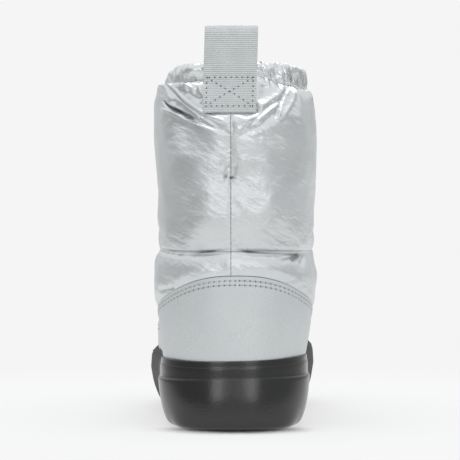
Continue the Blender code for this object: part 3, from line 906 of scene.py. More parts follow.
def counter_synthetic(sizes, colours):
    """Matte coated synthetic with a fine grain and the needle holes of two rows of stitches, darkened with
    painted shade.
    """
    finish = Finish("grey_synthetic", Specular_IOR_Level=0.4, Metallic=0.5)
    run, below = finish.uv("X"), finish.uv("Y")
    pitch = sizes.stitch_pitch / MM
    across = ((run / pitch).fraction() - 0.5).size() * pitch
    holes = None
    for row in (sizes.first_row / MM, sizes.second_row / MM):
        down = (below - row).size()
        away = (across * across + down * down) ** 0.5
        hole = 1 - away.band(0.25, 0.62)
        holes = hole if holes is None else holes + hole
    pores = finish.cells(0.9)
    cloud = finish.noise(28, 2.0)
    grey = colours.counter
    tone = finish.mix(cloud.band(0.25, 0.75), rgba(grey, 0.95), rgba(grey, 1.04))
    speckle = finish.mix(finish.noise(0.6, 2.0).band(0.35, 0.7), tone, rgba(grey, 0.9))
    # Painted shade: the needle holes are darkened towards 0.22 of the grey.
    finish.set(Base_Color=finish.mix(holes * 0.85, speckle, rgba(grey, 0.22)))
    finish.set(Roughness=0.44 + 0.1 * cloud)
    grain = finish.bump(pores, 0.05)
    finish.set(Normal=finish.bump(1 - holes, 0.35, grain))
    return finish.material


def black_rubber(colours):
    """Moulded rubber: glossy at the heel and dull forward of it, with a fine grain."""
    finish = Finish("black_rubber", Specular_IOR_Level=0.78)
    grain = finish.noise(0.9, 2.0)
    cloud = finish.noise(30, 2.0)
    tone = finish.mix(cloud, rgba(colours.rubber, 0.8), rgba(colours.rubber, 1.3))
    finish.set(Base_Color=finish.mix(grain.band(0.55, 0.8) * 0.3, tone, rgba(colours.rubber, 2.2)))
    forward = finish.axis(finish.place(), "Y").band(*HEEL_GLOSS_END)
    finish.set(Roughness=0.15 + 0.05 * cloud + 0.05 * grain + 0.45 * forward)
    finish.set(Normal=finish.bump(grain, 0.07))
    return finish.material


def woven_tape(sizes, colours):
    """Ribbed webbing: yarns across the tape, each rib broken into small beads, with painted shade in the
    valleys between the ribs.
    """
    finish = Finish("grey_tape", Specular_IOR_Level=0.3, Sheen_Weight=0.15)
    across, run = finish.uv("X"), finish.uv("Y")
    rib = (run * (2 * math.pi / (sizes.rib_pitch / MM))).cosine()
    yarn = (across * (2 * math.pi / YARN_PITCH)).cosine()
    cloud = finish.noise(9, 3.0)
    tone = finish.mix(cloud.band(0.2, 0.8), rgba(colours.tape, 0.93), rgba(colours.tape, 1.05))
    # Painted shade: the tape darkens towards half its grey in the valleys between the ribs.
    finish.set(Base_Color=finish.mix((0.5 - 0.5 * rib) ** 2.0 * 0.7, tone, rgba(colours.tape, 0.5)))
    finish.set(Roughness=0.72 + 0.1 * cloud)
    finish.set(Normal=finish.bump(yarn * (1 + rib) * 0.5, 0.02))
    return finish.material


def thread(name, colour, roughness):
    """Twisted sewing thread."""
    finish = Finish(name, Specular_IOR_Level=0.4)
    twist = finish.noise(0.35, 1.0)
    finish.set(Base_Color=finish.mix(twist, rgba(colour, 0.8), rgba(colour, 1.1)))
    finish.set(Roughness=roughness + 0.1 * twist, Normal=finish.bump(twist, 0.04))
    return finish.material


def soft_pile(name, colour, wave):
    """Brushed pile, as on a fleece lining or a felt footbed."""
    finish = Finish(name, Specular_IOR_Level=0.2, Sheen_Weight=0.4, Sheen_Roughness=0.6)
    tufts = finish.noise(wave, 4.0)
    hairs = finish.noise(wave / 5, 2.0)
    tone = finish.mix(tufts.band(0.3, 0.7), rgba(colour, 0.8), rgba(colour, 1.12))
    finish.set(Base_Color=finish.mix(hairs.band(0.4, 0.8) * 0.5, tone, rgba(colour, 0.7)))
    finish.set(Roughness=0.88 + 0.08 * hairs)
    finish.set(Normal=finish.bump(hairs, 0.2, finish.bump(tufts, 0.6)))
    return finish.material


def bead_mesh(name, runs, first, pitch, length, width):
    """Beads along runs of points and normals, such as stitches or needle holes, joined in one mesh."""
    shape = bmesh.new()
    for points, normals in runs:
        run = run_length(points)
        for centre in np.arange(first, run[-1], pitch):
            places = (centre - BEAD_STEP, centre, centre + BEAD_STEP)
            back, spot, ahead = ([np.interp(place, run, axis) for axis in points.T] for place in places)
            facing = Vector([np.interp(centre, run, axis) for axis in normals.T]).normalized()
            forward = (Vector(ahead) - Vector(back)).normalized()
            aside = facing.cross(forward).normalized()
            turn = Matrix((forward, aside, forward.cross(aside))).transposed().to_4x4()
            scale = Matrix.Diagonal((length / 2 * MM, width / 2 * MM, BEAD_HEIGHT * width * MM, 1))
            matrix = Matrix.Translation(placed(spot)) @ turn @ scale
            bmesh.ops.create_uvsphere(shape, u_segments=6, v_segments=5, radius=1, matrix=matrix)
    bmesh.ops.recalc_face_normals(shape, faces=shape.faces)
    mesh = bpy.data.meshes.new(name)
    shape.to_mesh(mesh)
    shape.free()
    return mesh


def cosine_shares(count):
    """Shares of a stretch that lie closer together at its two ends, without the last."""
    return (1 - np.cos(np.pi * np.arange(count) / count)) / 2


def shell_surface(sizes):
    """Height, column angle and puff of each point of the shell's outer face, before its folds."""
    angle = shell_angles()
    along = nominal_along(angle)
    signed = collar_run(angle)
    vamp_puff, shaft_puff = sizes.vamp_fill * line_height(VAMP_PUFF, along), sizes.shaft_puff / MM
    feather = line_height(CUP_FLOOR, along) + GAP
    rand_top = line_height(RAND_TOP, along)
    seam = line_height(ANKLE_SEAM, along)
    shoulder = line_height(PUFF_SHOULDER, along)
    collar = line_height(CUFF_FOOT, signed)
    front = ease((np.abs(signed) - FRONT_START) / FRONT_FADE)
    pinch = OUTER_PINCH * within(signed, OUTER_BACK) + FRONT_PINCH * front
    heights, outs = [], []
    for share in np.linspace(0, 1, RAND_COVER_ROWS):
        heights.append(feather + (rand_top - RAND_LAP - feather) * share)
        outs.append(np.zeros_like(along))
    for share in cosine_shares(VAMP_ROWS):
        heights.append(rand_top + (seam - rand_top) * share)
        arch = math.sin(math.pi * (VAMP_TUCK + (1 - VAMP_TUCK) * share))
        outs.append(vamp_puff * max(0.0, arch) ** PUFF_SHARPNESS)
    for share in cosine_shares(SHAFT_ROWS):
        heights.append(seam + (shoulder - seam) * share)
        full = max(0.0, math.sin(math.pi * share)) ** PUFF_SHARPNESS
        outs.append(shaft_puff * (full if share < 0.5 else 1 - pinch * (1 - full)))
    fuller = ease((COLLAR_ROUND_END - signed) / COLLAR_ROUND_FADE)
    power = COLLAR_ROUND + COLLAR_ROUND * fuller + ease(-signed / COLLAR_ROUND_FADE)
    for share in np.linspace(0, 1, COLLAR_ROWS):
        heights.append(shoulder + (collar - shoulder) * share)
        rounded = 1 - share**power
        outs.append(shaft_puff * rounded * ((1 - pinch) + pinch * math.sin(math.pi * min(1, 2 * share) / 2)))
    outs = [np.broadcast_to(out, along.shape) for out in outs]
    height, out = np.array(heights), np.array(outs)
    return height, np.broadcast_to(angle, height.shape), out


def crumpled_shell(sizes):
    """The shell's outer face with its folds, gathers and crumple, and how deep it is creased, which the
    cloth darkens as painted shade.
    """
    height, angle, out = shell_surface(sizes)
    points, normals = last_point(height, angle), last_normal(height, angle)
    folds = np.zeros(height.shape)
    for fold in SHELL_FOLDS.values():
        folds = folds + sizes.crease_depth * fold_lift(fold, points, normals)
    for swell in SHELL_SWELLS.values():
        out = out + swell_lift(swell, points, normals)
    run = collar_run(angle)
    collar = line_height(CUFF_FOOT, run)
    hang = ease((height - (collar - GATHER_HANG)) / GATHER_HANG) ** GATHER_HANG_ROUND
    folds = folds + sizes.gather_depth / MM * hang * pleat_strength(run) * pleat_profile(run)
    rand_top = line_height(RAND_TOP, nominal_along(angle))
    free = ease((height - rand_top) / CRUMPLE_LOW_FADE) * ease((collar - height) / CRUMPLE_HIGH_FADE)
    for layer in SHELL_CRUMPLE:
        folds = folds + layer.height * free * waves(points, layer.wave, layer.seed)
    total = out + folds
    middle = TAPE_SHIFT + TAPE_SLANT * (height - TAPE_UPRIGHT)
    beside = np.maximum(np.abs(points[..., 0] - middle) - TAPE_WIDTH / 2, 0)
    room = TAPE_ROOM + TAPE_EASE * np.hypot(beside, np.maximum(LOOP_FOOT - height, 0))
    pressed = -TAPE_SOFT * np.logaddexp(-room / TAPE_SOFT, -total / TAPE_SOFT)
    total = np.where(np.cos(angle) > 0, pressed, total)
    total = np.maximum(total, -SHELL_WALL + LEAST_WALL)
    aside = np.where(np.cos(angle) > 0, points[..., 0] - SEAM_X, FAR_FROM_SEAM)
    return points + normals * total[..., None], {"crease": np.maximum(-folds, 0), "seam": aside}


def wall_rings(rows, inset):
    """Rows of the plain inner side of the wall, from the collar down to the cup."""
    angle = shell_angles()
    foot = line_height(CUP_FLOOR, nominal_along(angle)) + GAP
    tall = line_height(CUFF_FOOT, collar_run(angle)) - foot
    inside = np.full_like(angle, -inset)
    return np.array([over_last(foot + tall * share, angle, inside) for share in np.linspace(1, 0, rows)])


class BootieSizes(bpy.types.PropertyGroup):
    """Sizes of the cloth and its sewing"""

    vamp_fill: FloatProperty(name="Vamp fill", description="Share of the full puff over the foot",
                             default=1.0, min=0.0, max=1.5, subtype="FACTOR")
    shaft_puff: FloatProperty(name="Shaft puff", description="Height of the quilt round the shaft",
                              default=3.6 * MM, unit="LENGTH")
    crease_depth: FloatProperty(name="Crease depth", description="Share of the drawn folds' full depth",
                                default=1.0, min=0.0, max=2.0, subtype="FACTOR")
    gather_depth: FloatProperty(name="Gather depth", description="Height of the cuff's small pleats",
                                default=1.9 * MM, unit="LENGTH")
    stitch_pitch: FloatProperty(name="Stitch pitch", description="Distance from stitch to stitch",
                                default=2.9 * MM, unit="LENGTH")
    stitch_length: FloatProperty(name="Stitch length", description="Length of thread that shows",
                                 default=2.2 * MM, unit="LENGTH")
    thread_width: FloatProperty(name="Thread width", description="Thickness of the sewing thread",
                                default=0.6 * MM, unit="LENGTH")
    first_row: FloatProperty(name="First row", description="Upper row of stitches below the counter's edge",
                             default=2.6 * MM, unit="LENGTH")
    second_row: FloatProperty(name="Second row", default=5.0 * MM, unit="LENGTH",
                              description="Lower row of stitches below the counter's edge")
    box_pitch: FloatProperty(name="Box pitch", description="Distance from stitch to stitch on the pull loop",
                             default=3.1 * MM, unit="LENGTH")
    rib_pitch: FloatProperty(name="Rib pitch", description="Distance from rib to rib of the loop's tape",
                             default=1.14 * MM, unit="LENGTH")
    rib_height: FloatProperty(name="Rib height", description="How far each rib of the tape stands out",
                              default=0.15 * MM, unit="LENGTH")


class BootieColours(bpy.types.PropertyGroup):
    """Colours of the cloth, rubber and thread"""

    silver: FloatVectorProperty(name="Silver", description="Metal coat of the shell", subtype="COLOR",
                                default=(0.71, 0.73, 0.74))
    # Painted light: the cuff's silver is a lighter copy of the shell's, though the cuff is the same cloth,
    # so the top of the boot reads brighter.
    cuff: FloatVectorProperty(name="Cuff", description="Metal coat of the gathered cuff", subtype="COLOR",
                              default=(0.76, 0.78, 0.79))
    counter: FloatVectorProperty(name="Counter", description="Matte overlay", subtype="COLOR",
                                 default=(0.66, 0.69, 0.70))
    tape: FloatVectorProperty(name="Tape", description="Webbing of the pull loop", subtype="COLOR",
                              default=(0.73, 0.765, 0.775))
    thread: FloatVectorProperty(name="Thread", description="Sewing thread", subtype="COLOR",
                                default=(0.48, 0.51, 0.52))
    # Painted shade: the colour of the dark beads that stand for the needle holes.
    hole: FloatVectorProperty(name="Hole", description="Needle holes in the loop's tape", subtype="COLOR",
                              default=(0.12, 0.13, 0.135))
    rubber: FloatVectorProperty(name="Rubber", description="Cup sole", subtype="COLOR",
                                default=(0.0025, 0.0025, 0.0027))
    lip_thread: FloatVectorProperty(name="Lip thread", description="Stitches in the side of the sole",
                                    subtype="COLOR", default=(0.10, 0.10, 0.105))
    lining: FloatVectorProperty(name="Lining", description="Fleece inside the shaft", subtype="COLOR",
                                default=(0.50, 0.51, 0.52))
    felt: FloatVectorProperty(name="Felt", description="Top of the footbed", subtype="COLOR",
                              default=(0.40, 0.41, 0.42))


class BootieStage(bpy.types.PropertyGroup):
    """Floor, light and camera"""

    backdrop: FloatProperty(name="Backdrop", description="Brightness of the plain backdrop", default=0.913)
    floor_glow: FloatProperty(name="Floor glow", description="Brightness added to the floor near the boot",
                              default=0.6)
    shade_reach: FloatProperty(name="Shade reach", description="Width of the contact shade on the floor",
                               default=0.048, unit="LENGTH")
    softbox_power: FloatProperty(name="Softbox power", description="Each softbox beside the camera",
                                 default=2.15, unit="POWER")
    top_power: FloatProperty(name="Top power", description="Softbox above the boot", default=8.0,
                             unit="POWER")
    distance: FloatProperty(name="Distance", description="Camera to the back of the heel", default=1.3,
                            unit="LENGTH")
    eye_height: FloatProperty(name="Eye height", description="Camera above the floor", default=0.111,
                              unit="LENGTH")
    turn: FloatProperty(name="Turn", description="Camera's angle to the boot's length",
                        default=math.radians(-0.5), subtype="ANGLE")
    lens: FloatProperty(name="Lens", description="Focal length in millimetres", default=183.13)
    aim: FloatProperty(name="Aim", description="Where the view's middle crosses the heel, across the boot",
                       default=-3.55 * MM, unit="LENGTH")


class BOOTIE_OT_quilted_upper(bpy.types.Operator):
    """Lay the quilted silver shell and its lining over the last"""

    bl_idname = "bootie.quilted_upper"
    bl_label = "Quilted upper"

    def execute(self, context):
        sizes, colours = context.scene.bootie_sizes, context.scene.bootie_colours
        face, tags = crumpled_shell(sizes)
        inner = wall_rings(WALL_ROWS, SHELL_WALL)
        points = np.concatenate([face, inner])
        plain = {"crease": np.zeros(inner.shape[:2]), "seam": np.full(inner.shape[:2], FAR_FROM_SEAM)}
        tags = {tag: np.concatenate([values, plain[tag]]) for tag, values in tags.items()}
        mesh = grid_mesh("quilted_upper", points, tags=tags, round_rows=True)
        mesh = closed_mesh("quilted_upper", [mesh])
        cloth = silver_cloth("silver_cloth", colours.silver, True)
        shell = add_piece("quilted_upper", mesh, cloth, "silver_cloth", "upper")
        outer = wall_rings(LINING_ROWS, SHELL_WALL + LINING_GAP)
        rings = np.concatenate([outer[::-1], wall_rings(LINING_ROWS, UPPER_WALL)])
        mesh = closed_mesh("fleece_lining", [grid_mesh("fleece_lining", rings, round_rows=True)])
        add_piece("fleece_lining", mesh, soft_pile("fleece", colours.lining, 2.4), "grey_felt")
        return {"FINISHED"}


class BOOTIE_OT_counter_rand(bpy.types.Operator):
    """Wrap the matte counter and rand over the shell and sew its edge"""

    bl_idname = "bootie.counter_rand"
    bl_label = "Counter and rand"

    def execute(self, context):
        sizes, colours = context.scene.bootie_sizes, context.scene.bootie_colours
        angle = even_angles(RAND_COLUMNS, section_at(SHAFT_MIDDLE))
        along = nominal_along(angle)
        top = line_height(RAND_TOP, along) - GAP
        foot = line_height(CUP_FLOOR, along) + RAND_FOOT
        face = GAP + RAND_WALL
        edge = over_last(top, angle, np.full_like(angle, face))
        run = run_length(np.concatenate([edge, edge[:1]]))
        rows = []
        straight = top - RAND_EDGE - foot
        for share in np.linspace(0, 1, RAND_FACE_ROWS) ** RAND_ROW_POWER:
            rows.append((foot + straight * share, face))
        rows.append((top - RAND_SHOULDER[0], face - RAND_SHOULDER[1]))
        rows += [(top, face - RAND_ROUND), (top, GAP + RAND_ROUND), (top - RAND_BACK_DROP, GAP)]
        for share in np.linspace(1, 0, RAND_BACK_ROWS):
            rows.append((foot + straight * share, GAP))
        points, uvs = [], []
        for height, out in rows:
            ring = over_last(height, angle, np.full_like(angle, out))
            if out == face:
                soft = RAND_CRUMPLE.height * waves(ring, RAND_CRUMPLE.wave, RAND_CRUMPLE.seed)
                ring = ring + last_normal(height, angle) * soft[:, None]
            points.append(ring)
            below = np.append(top - height, top[0] - height[0])
            uvs.append(np.column_stack([run, below if out >= face - RAND_EDGE else below + RAND_BACK_MAP]))
        points.append(points[0])
        uvs.append(uvs[-1])
        mesh = closed_mesh("counter_rand", [grid_mesh("counter_rand", points, uvs)])
        add_piece("matte_counter", mesh, counter_synthetic(sizes, colours), "grey_synthetic", "counter_rand")
        self.sew(sizes, colours, run, angle, face)
        return {"FINISHED"}

    def sew(self, sizes, colours, run, angle, face):
        """Two rows of stitches below the edge."""
        turn = np.interp(np.arange(0, run[-1], SEWN_STEP), run, np.append(angle, 2 * math.pi))
        edge = line_height(RAND_TOP, nominal_along(turn)) - GAP
        runs = []
        for row in (sizes.first_row / MM, sizes.second_row / MM):
            line = over_last(edge - row, turn, np.full_like(turn, face + THREAD_RISE))
            runs.append((line, last_normal(edge - row, turn)))
        pitch, length, width = sizes.stitch_pitch / MM, sizes.stitch_length / MM, sizes.thread_width / MM
        mesh = bead_mesh("counter_stitches", runs, pitch, pitch, length, width)
        add_piece("counter_stitches", mesh, thread("counter_thread", colours.thread, 0.5), "grey_synthetic")


class BOOTIE_OT_cup_sole(bpy.types.Operator):
    """Mould the black cup sole with its tread, ledge and lip, and sew its side"""

    bl_idname = "bootie.cup_sole"
    bl_label = "Cup sole"

    def execute(self, context):
        colours = context.scene.bootie_colours
        angle = even_angles(SOLE_COLUMNS, SOLE_PLAN)
        rings = self.side_rings(angle)
        side = grid_mesh("cup_sole", rings)
        tread = strips_across(rings[0], TREAD_STRIPS)
        tread[..., 2] = underside(tread[..., 1])
        floor = strips_across(rings[-1], CUP_STRIPS)
        caps = [grid_mesh("cap", grid, round_columns=False) for grid in (tread, floor)]
        mesh = self.grooved(closed_mesh("cup_sole", [side, *caps]))
        add_piece("cup_sole", mesh, black_rubber(colours), "black_rubber", "sole")
        self.sew(colours)
        return {"FINISHED"}

    def sew(self, colours):
        """Stitches in the side of the lip, from the waist of the boot round the toe."""
        angle = np.linspace(0, 2 * math.pi, LIP_POINTS)
        along = nominal_along(angle)
        plan = plan_point(SOLE_PLAN, angle)
        ring = offset_ring(plan[:-1], -LIP_STITCH_INSET)
        height = line_height(SOLE_RIM, along) + RIM_TILT * plan[:, 0] - LIP_STITCH_DROP
        line = np.column_stack([np.concatenate([ring, ring[:1]]), height])
        facing = np.zeros_like(line)
        facing[:, 0], facing[:, 1] = np.gradient(line[:, 1]), -np.gradient(line[:, 0])
        sewn = along > LIP_STITCH_START
        sizes = (LIP_STITCH_PITCH, LIP_STITCH_LENGTH, LIP_STITCH_WIDTH)
        mesh = bead_mesh("lip_stitches", [(line[sewn], facing[sewn])], LIP_STITCH_FIRST, *sizes)
        add_piece("lip_stitches", mesh, thread("lip_thread", colours.lip_thread, 0.6), "black_rubber")

    def side_rings(self, angle):
        """Rings up the side of the sole, over its lip and down into the cup, with each corner rounded."""
        along = nominal_along(angle)
        plan = plan_point(SOLE_PLAN, angle)
        floor = line_height(CUP_FLOOR, along)
        tilt = RIM_TILT * plan[:, 0]
        rim = line_height(SOLE_RIM, along) + tilt
        ledge = line_height(SOLE_LEDGE, along) + tilt
        lines = {"underside": underside(plan[:, 1]), "ledge": ledge, "rim": rim}
        aside = ease(along / BACK_END)
        forward = ease((along - BLOCK_END) / BLOCK_FADE)
        rings = []
        for step in SOLE_STEPS:
            inset = step.back + (step.heel - step.back) * aside + (step.fore - step.heel) * forward
            ring = offset_ring(plan, -inset)
            rings.append(np.column_stack([ring, lines[step.line] + step.lift]))
        lip = 0.5 * (rings[-1][:, :2] + self.cup_wall(rim, angle)[:, :2])
        rings.append(np.column_stack([lip, rim]))
        levels = (rim - CUP_LIP_DROP, 0.5 * (rim + floor), floor)
        rings += [self.cup_wall(height, angle) for height in levels]
        rings = np.array(rings)
        for _ in range(CORNER_CUTS):
            near, far = 0.75 * rings[:-1] + 0.25 * rings[1:], 0.25 * rings[:-1] + 0.75 * rings[1:]
            cut = np.stack([near, far], axis=1).reshape(-1, *rings.shape[1:])
            rings = np.concatenate([rings[:1], cut, rings[-1:]])
        return rings

    def cup_wall(self, height, angle):
        """A ring of the cup's inner wall, just clear of the overlay."""
        plan = last_point(height, angle)[:, :2]
        return np.column_stack([offset_ring(plan, RAND_WALL + 2 * GAP + CUP_CLEARANCE), height])

    def grooved(self, mesh):
        """The sole with its slanted tread grooves cut."""
        shape = bmesh.new()
        plan = plan_point(SOLE_PLAN, np.linspace(0, 2 * math.pi, PLAN_POINTS))
        half = GROOVE_WIDTH / 2 / math.cos(GROOVE_SLANT)
        drop = math.tan(GROOVE_SLANT)
        for station in GROOVE_STATIONS:
            across = plan[np.abs(plan[:, 1] - station) < GROOVE_SIDE, 0]
            reach = {side: (across * side)[across * side > 0].min() - GROOVE_MARGIN for side in (-1, 1)}
            ends = [(side * reach[side], station - reach[side] * drop) for side in (-1, 1)]
            spine = [ends[0], (0, station), ends[1]]
            outline = [(x, y - half) for x, y in spine] + [(x, y + half) for x, y in reversed(spine)]
            level = underside(np.array(station))
            corners = placed([(x, y, level - GROOVE_DEPTH) for x, y in outline])
            face = shape.faces.new([shape.verts.new(corner) for corner in corners])
            grown = bmesh.ops.extrude_face_region(shape, geom=[face])["geom"]
            raised = [item for item in grown if isinstance(item, bmesh.types.BMVert)]
            bmesh.ops.translate(shape, verts=raised, vec=(0, 0, 2 * GROOVE_DEPTH * MM))
        bmesh.ops.recalc_face_normals(shape, faces=shape.faces)
        knife_mesh = bpy.data.meshes.new("groove_knife")
        shape.to_mesh(knife_mesh)
        shape.free()
        knife = bpy.data.objects.new("groove_knife", knife_mesh)
        block = bpy.data.objects.new("sole_block", mesh)
        for made in (knife, block):
            bpy.context.scene.collection.objects.link(made)
        cut = block.modifiers.new("grooves", "BOOLEAN")
        cut.operation = "DIFFERENCE"
        cut.object = knife
        depsgraph = bpy.context.evaluated_depsgraph_get()
        result = bpy.data.meshes.new_from_object(block.evaluated_get(depsgraph))
        for made in (knife, block):
            bpy.data.objects.remove(made)
        result.name = "cup_sole"
        return result


class BOOTIE_OT_footbed(bpy.types.Operator):
    """Lay the felt footbed on the floor of the cup"""

    bl_idname = "bootie.footbed"
    bl_label = "Footbed"

    def execute(self, context):
        colours = context.scene.bootie_colours
        angle = even_angles(FOOTBED_COLUMNS, section_at(FOOTBED_LEVEL))
        floor = line_height(CUP_FLOOR, nominal_along(angle)) + GAP
        rings = []
        for share, inset in FOOTBED_EDGE.items():
            height = floor + share * INSOLE_THICKNESS
            plan = last_point(height, angle)[:, :2]
            rings.append(np.column_stack([offset_ring(plan, -UPPER_WALL - 2 * GAP - inset), height]))
        rings = np.array(rings)
        flats = [strips_across(ring, FOOTBED_STRIPS) for ring in (rings[0], rings[-1])]
        caps = [grid_mesh("cap", flat, round_columns=False) for flat in flats]
        mesh = closed_mesh("footbed", [grid_mesh("footbed", rings), *caps])
        add_piece("footbed", mesh, soft_pile("grey_felt", colours.felt, 1.6), "grey_felt", "insole")
        return {"FINISHED"}


class BOOTIE_OT_gathered_cuff(bpy.types.Operator):
    """Gather the elastic casing round the collar"""

    bl_idname = "bootie.gathered_cuff"
    bl_label = "Gathered cuff"

    def execute(self, context):
        sizes, colours = context.scene.bootie_sizes, context.scene.bootie_colours
        angle = even_angles(CUFF_COLUMNS, section_at(COLLAR_HEIGHT))
        run = collar_run(angle)
        path = offset_ring(last_point(COLLAR_HEIGHT, angle)[:, :2], -UPPER_WALL / 2 - CUFF_INSET)
        foot = line_height(CUFF_FOOT, run) - CUFF_LAP
        top = line_height(CUFF_TOP, nominal_along(angle)) + bell(run, CUFF_CORNER)
        half_height = (top - foot) / 2
        dent = bell(run, CUFF_DENT)
        depth = sizes.gather_depth / MM * pleat_strength(run)
        rings = []
        for turn in np.arange(CUFF_CORNERS) * (2 * math.pi / CUFF_CORNERS):
            square = CUFF_FOOT_SQUARE if math.cos(turn) > 0 > math.sin(turn) else CUFF_SQUARE
            across, up = (math.copysign(abs(f(turn)) ** square, f(turn)) for f in (math.cos, math.sin))
            sway = PLEAT_SWAY * np.sin(run / PLEAT_SWAY_WAVE + PLEAT_SWAY_TURN * up)
            pleat = pleat_profile(run + PLEAT_LEAN * up + sway) * depth
            relief = pleat * PLEAT_OUTSIDE - dent if across > 0 else pleat * PLEAT_INSIDE
            ring = offset_ring(path, CUFF_WALL / 2 * across + relief * across)
            height = foot + half_height * (1 + up) + PLEAT_ABOVE * pleat * max(up, 0)
            rings.append(np.column_stack([ring, height]))
        rings = np.array(rings)
        free = sum(layer.height * waves(rings, layer.wave, layer.seed) for layer in CUFF_CRUMPLE)
        outward = rings[:, :, :2] - path[None]
        outward = outward / np.maximum(np.linalg.norm(outward, axis=-1, keepdims=True), 1.0)
        rings[..., :2] = rings[..., :2] + outward * free[..., None]
        mesh = grid_mesh("gathered_cuff", rings, tags={"crease": np.zeros(rings.shape[:2])}, round_rows=True)
        mesh = closed_mesh("gathered_cuff", [mesh])
        # Painted light: the cuff takes the lighter copy of the silver.
        cloth = silver_cloth("cuff_cloth", colours.cuff, False)
        add_piece("gathered_cuff", mesh, cloth, "cuff_cloth", "cuff")
        return {"FINISHED"}


def loop_path():
    """Side view of the folded tape, as y and z: up the outside, over, and down the inside."""
    outside = TAPE_THICKNESS / 2 + GAP
    cuff_back = section_at(COLLAR_HEIGHT).back + UPPER_WALL / 2
    outer_leg = cuff_back - CUFF_WALL / 2 - outside
    inner_leg = cuff_back + CUFF_WALL / 2 + outside + FINGER_ROOM
    leg_top = LOOP_TOP - TAPE_THICKNESS / 2 - LOOP_BEND
    lifted = outside + LOOP_FOOT_LIFT
    path = [(over_last(height, 0.0, lifted)[1], height) for height in (LOOP_FOOT, LOOP_FOOT + LOOP_FOOT_RUN)]
    path += [(outer_leg, height) for height in (COLLAR_HEIGHT, CUFF_TOP[0], leg_top)]
    middle, reach = (outer_leg + inner_leg) / 2, (inner_leg - outer_leg) / 2
    for turn in np.linspace(0, math.pi, BEND_POINTS)[1:-1]:
        path.append((middle - reach * math.cos(turn), leg_top + LOOP_BEND * math.sin(turn)))
    path += [(inner_leg, height) for height in (leg_top, CUFF_TOP[0], COLLAR_HEIGHT)]
    path.append((inner_leg + LOOP_INNER_FLARE, LOOP_INNER_END))
    return np.array(path)


def collar_wrap(x):
    """How far forward the back of the collar has curved at this distance from its middle."""
    collar = section_at(COLLAR_HEIGHT)
    left = (1 - (np.abs(x) / collar.heel) ** HEEL_SQUARENESS) ** (1 / HEEL_SQUARENESS)
    return collar.back_round * (1 - left)


class TapeRoute:
    """The loop's tape: a place on it from its run, its distance across and its height over the middle."""

    def __init__(self):
        self.path = loop_path()
        self.run = run_length(self.path)

    def length(self):
        return self.run[-1]

    def at(self, run):
        return np.stack([smooth_curve(run, self.run, self.path[:, axis]) for axis in (0, 1)], axis=-1)

    def facing(self, run):
        step = self.at(run + TAPE_STEP) - self.at(run - TAPE_STEP)
        step = step / np.linalg.norm(step, axis=-1, keepdims=True)
        return np.stack([-step[..., 1], step[..., 0]], axis=-1)

    def place(self, run, across, out):
        run, across, out = np.broadcast_arrays(np.asarray(run, float), across, out)
        spot = self.at(run) + self.facing(run) * out[..., None]
        x = TAPE_SHIFT + across + TAPE_SLANT * (spot[..., 1] - TAPE_UPRIGHT)
        wrapped = spot[..., 0] + collar_wrap(TAPE_SHIFT + across - SHAFT_LEAN)
        return np.stack([x, wrapped, spot[..., 1]], axis=-1)


class BOOTIE_OT_pull_loop(bpy.types.Operator):
    """Fold the ribbed tape over the back of the collar and sew its box of stitches"""

    bl_idname = "bootie.pull_loop"
    bl_label = "Pull loop"

    def execute(self, context):
        sizes, colours = context.scene.bootie_sizes, context.scene.bootie_colours
        route = TapeRoute()
        runs = np.linspace(0, route.length(), TAPE_ROWS)
        across = TAPE_WIDTH / 2 * np.sin(np.linspace(-math.pi / 2, math.pi / 2, TAPE_COLUMNS))
        edge = np.abs(across / TAPE_WIDTH * 2) ** TAPE_EDGE_ROUND
        thick = TAPE_THICKNESS / 2 * (1 - edge) ** (1 / TAPE_EDGE_ROUND)
        x = np.concatenate([across, across[-2:0:-1]])
        half = np.concatenate([thick, -thick[-2:0:-1]])
        rib = sizes.rib_height / MM * np.cos(2 * math.pi * runs / (sizes.rib_pitch / MM))
        out = half[None, :] + np.sign(half)[None, :] * rib[:, None]
        points = route.place(runs[:, None], x[None, :], out)
        wide = np.append(x, x[0])
        uvs = np.stack(np.broadcast_arrays(wide[None, :], runs[:, None]), axis=-1)
        mesh = closed_mesh("pull_loop", [grid_mesh("pull_loop", points[:, ::-1], uvs[:, ::-1])])
        add_piece("webbing_loop", mesh, woven_tape(sizes, colours), "grey_tape", "pull_loop")
        self.sew(sizes, colours, route)
        return {"FINISHED"}

    def sew(self, sizes, colours, route):
        """A box of stitches with a cross inside, and dark beads of painted shade for the needle holes
        between the stitches.
        """
        low, high = (np.interp(height, route.path[:4, 1], route.run[:4]) for height in LOOP_BOX)
        half = LOOP_BOX_HALF
        corners = {"a": (low, -half), "b": (low, half), "c": (high, half), "d": (high, -half)}
        runs = []
        for start, end in ("ab", "bc", "cd", "da", "ac", "bd"):
            share = np.linspace(0, 1, 60)
            (r0, a0), (r1, a1) = corners[start], corners[end]
            run, across = r0 + (r1 - r0) * share, a0 + (a1 - a0) * share
            line = route.place(run, across, TAPE_THICKNESS / 2 + TAPE_THREAD_RISE)
            runs.append((line, route.place(run, across, 2.0) - route.place(run, across, 0.0)))
        pitch, length, width = sizes.box_pitch / MM, sizes.stitch_length / MM, sizes.thread_width / MM
        threads = bead_mesh("loop_stitches", runs, pitch / 2, pitch, length, LOOP_THREAD_SHARE * width)
        add_piece("loop_stitches", threads, thread("loop_thread", colours.tape, 0.6), "grey_tape")
        # Painted shade: the needle holes are small dark beads on the tape.
        holes = bead_mesh("needle_holes", runs, 0.0, pitch, NEEDLE_HOLE_LENGTH, NEEDLE_HOLE_SHARE * width)
        add_piece("needle_holes", holes, thread("hole_shade", colours.hole, 0.8), "grey_tape")


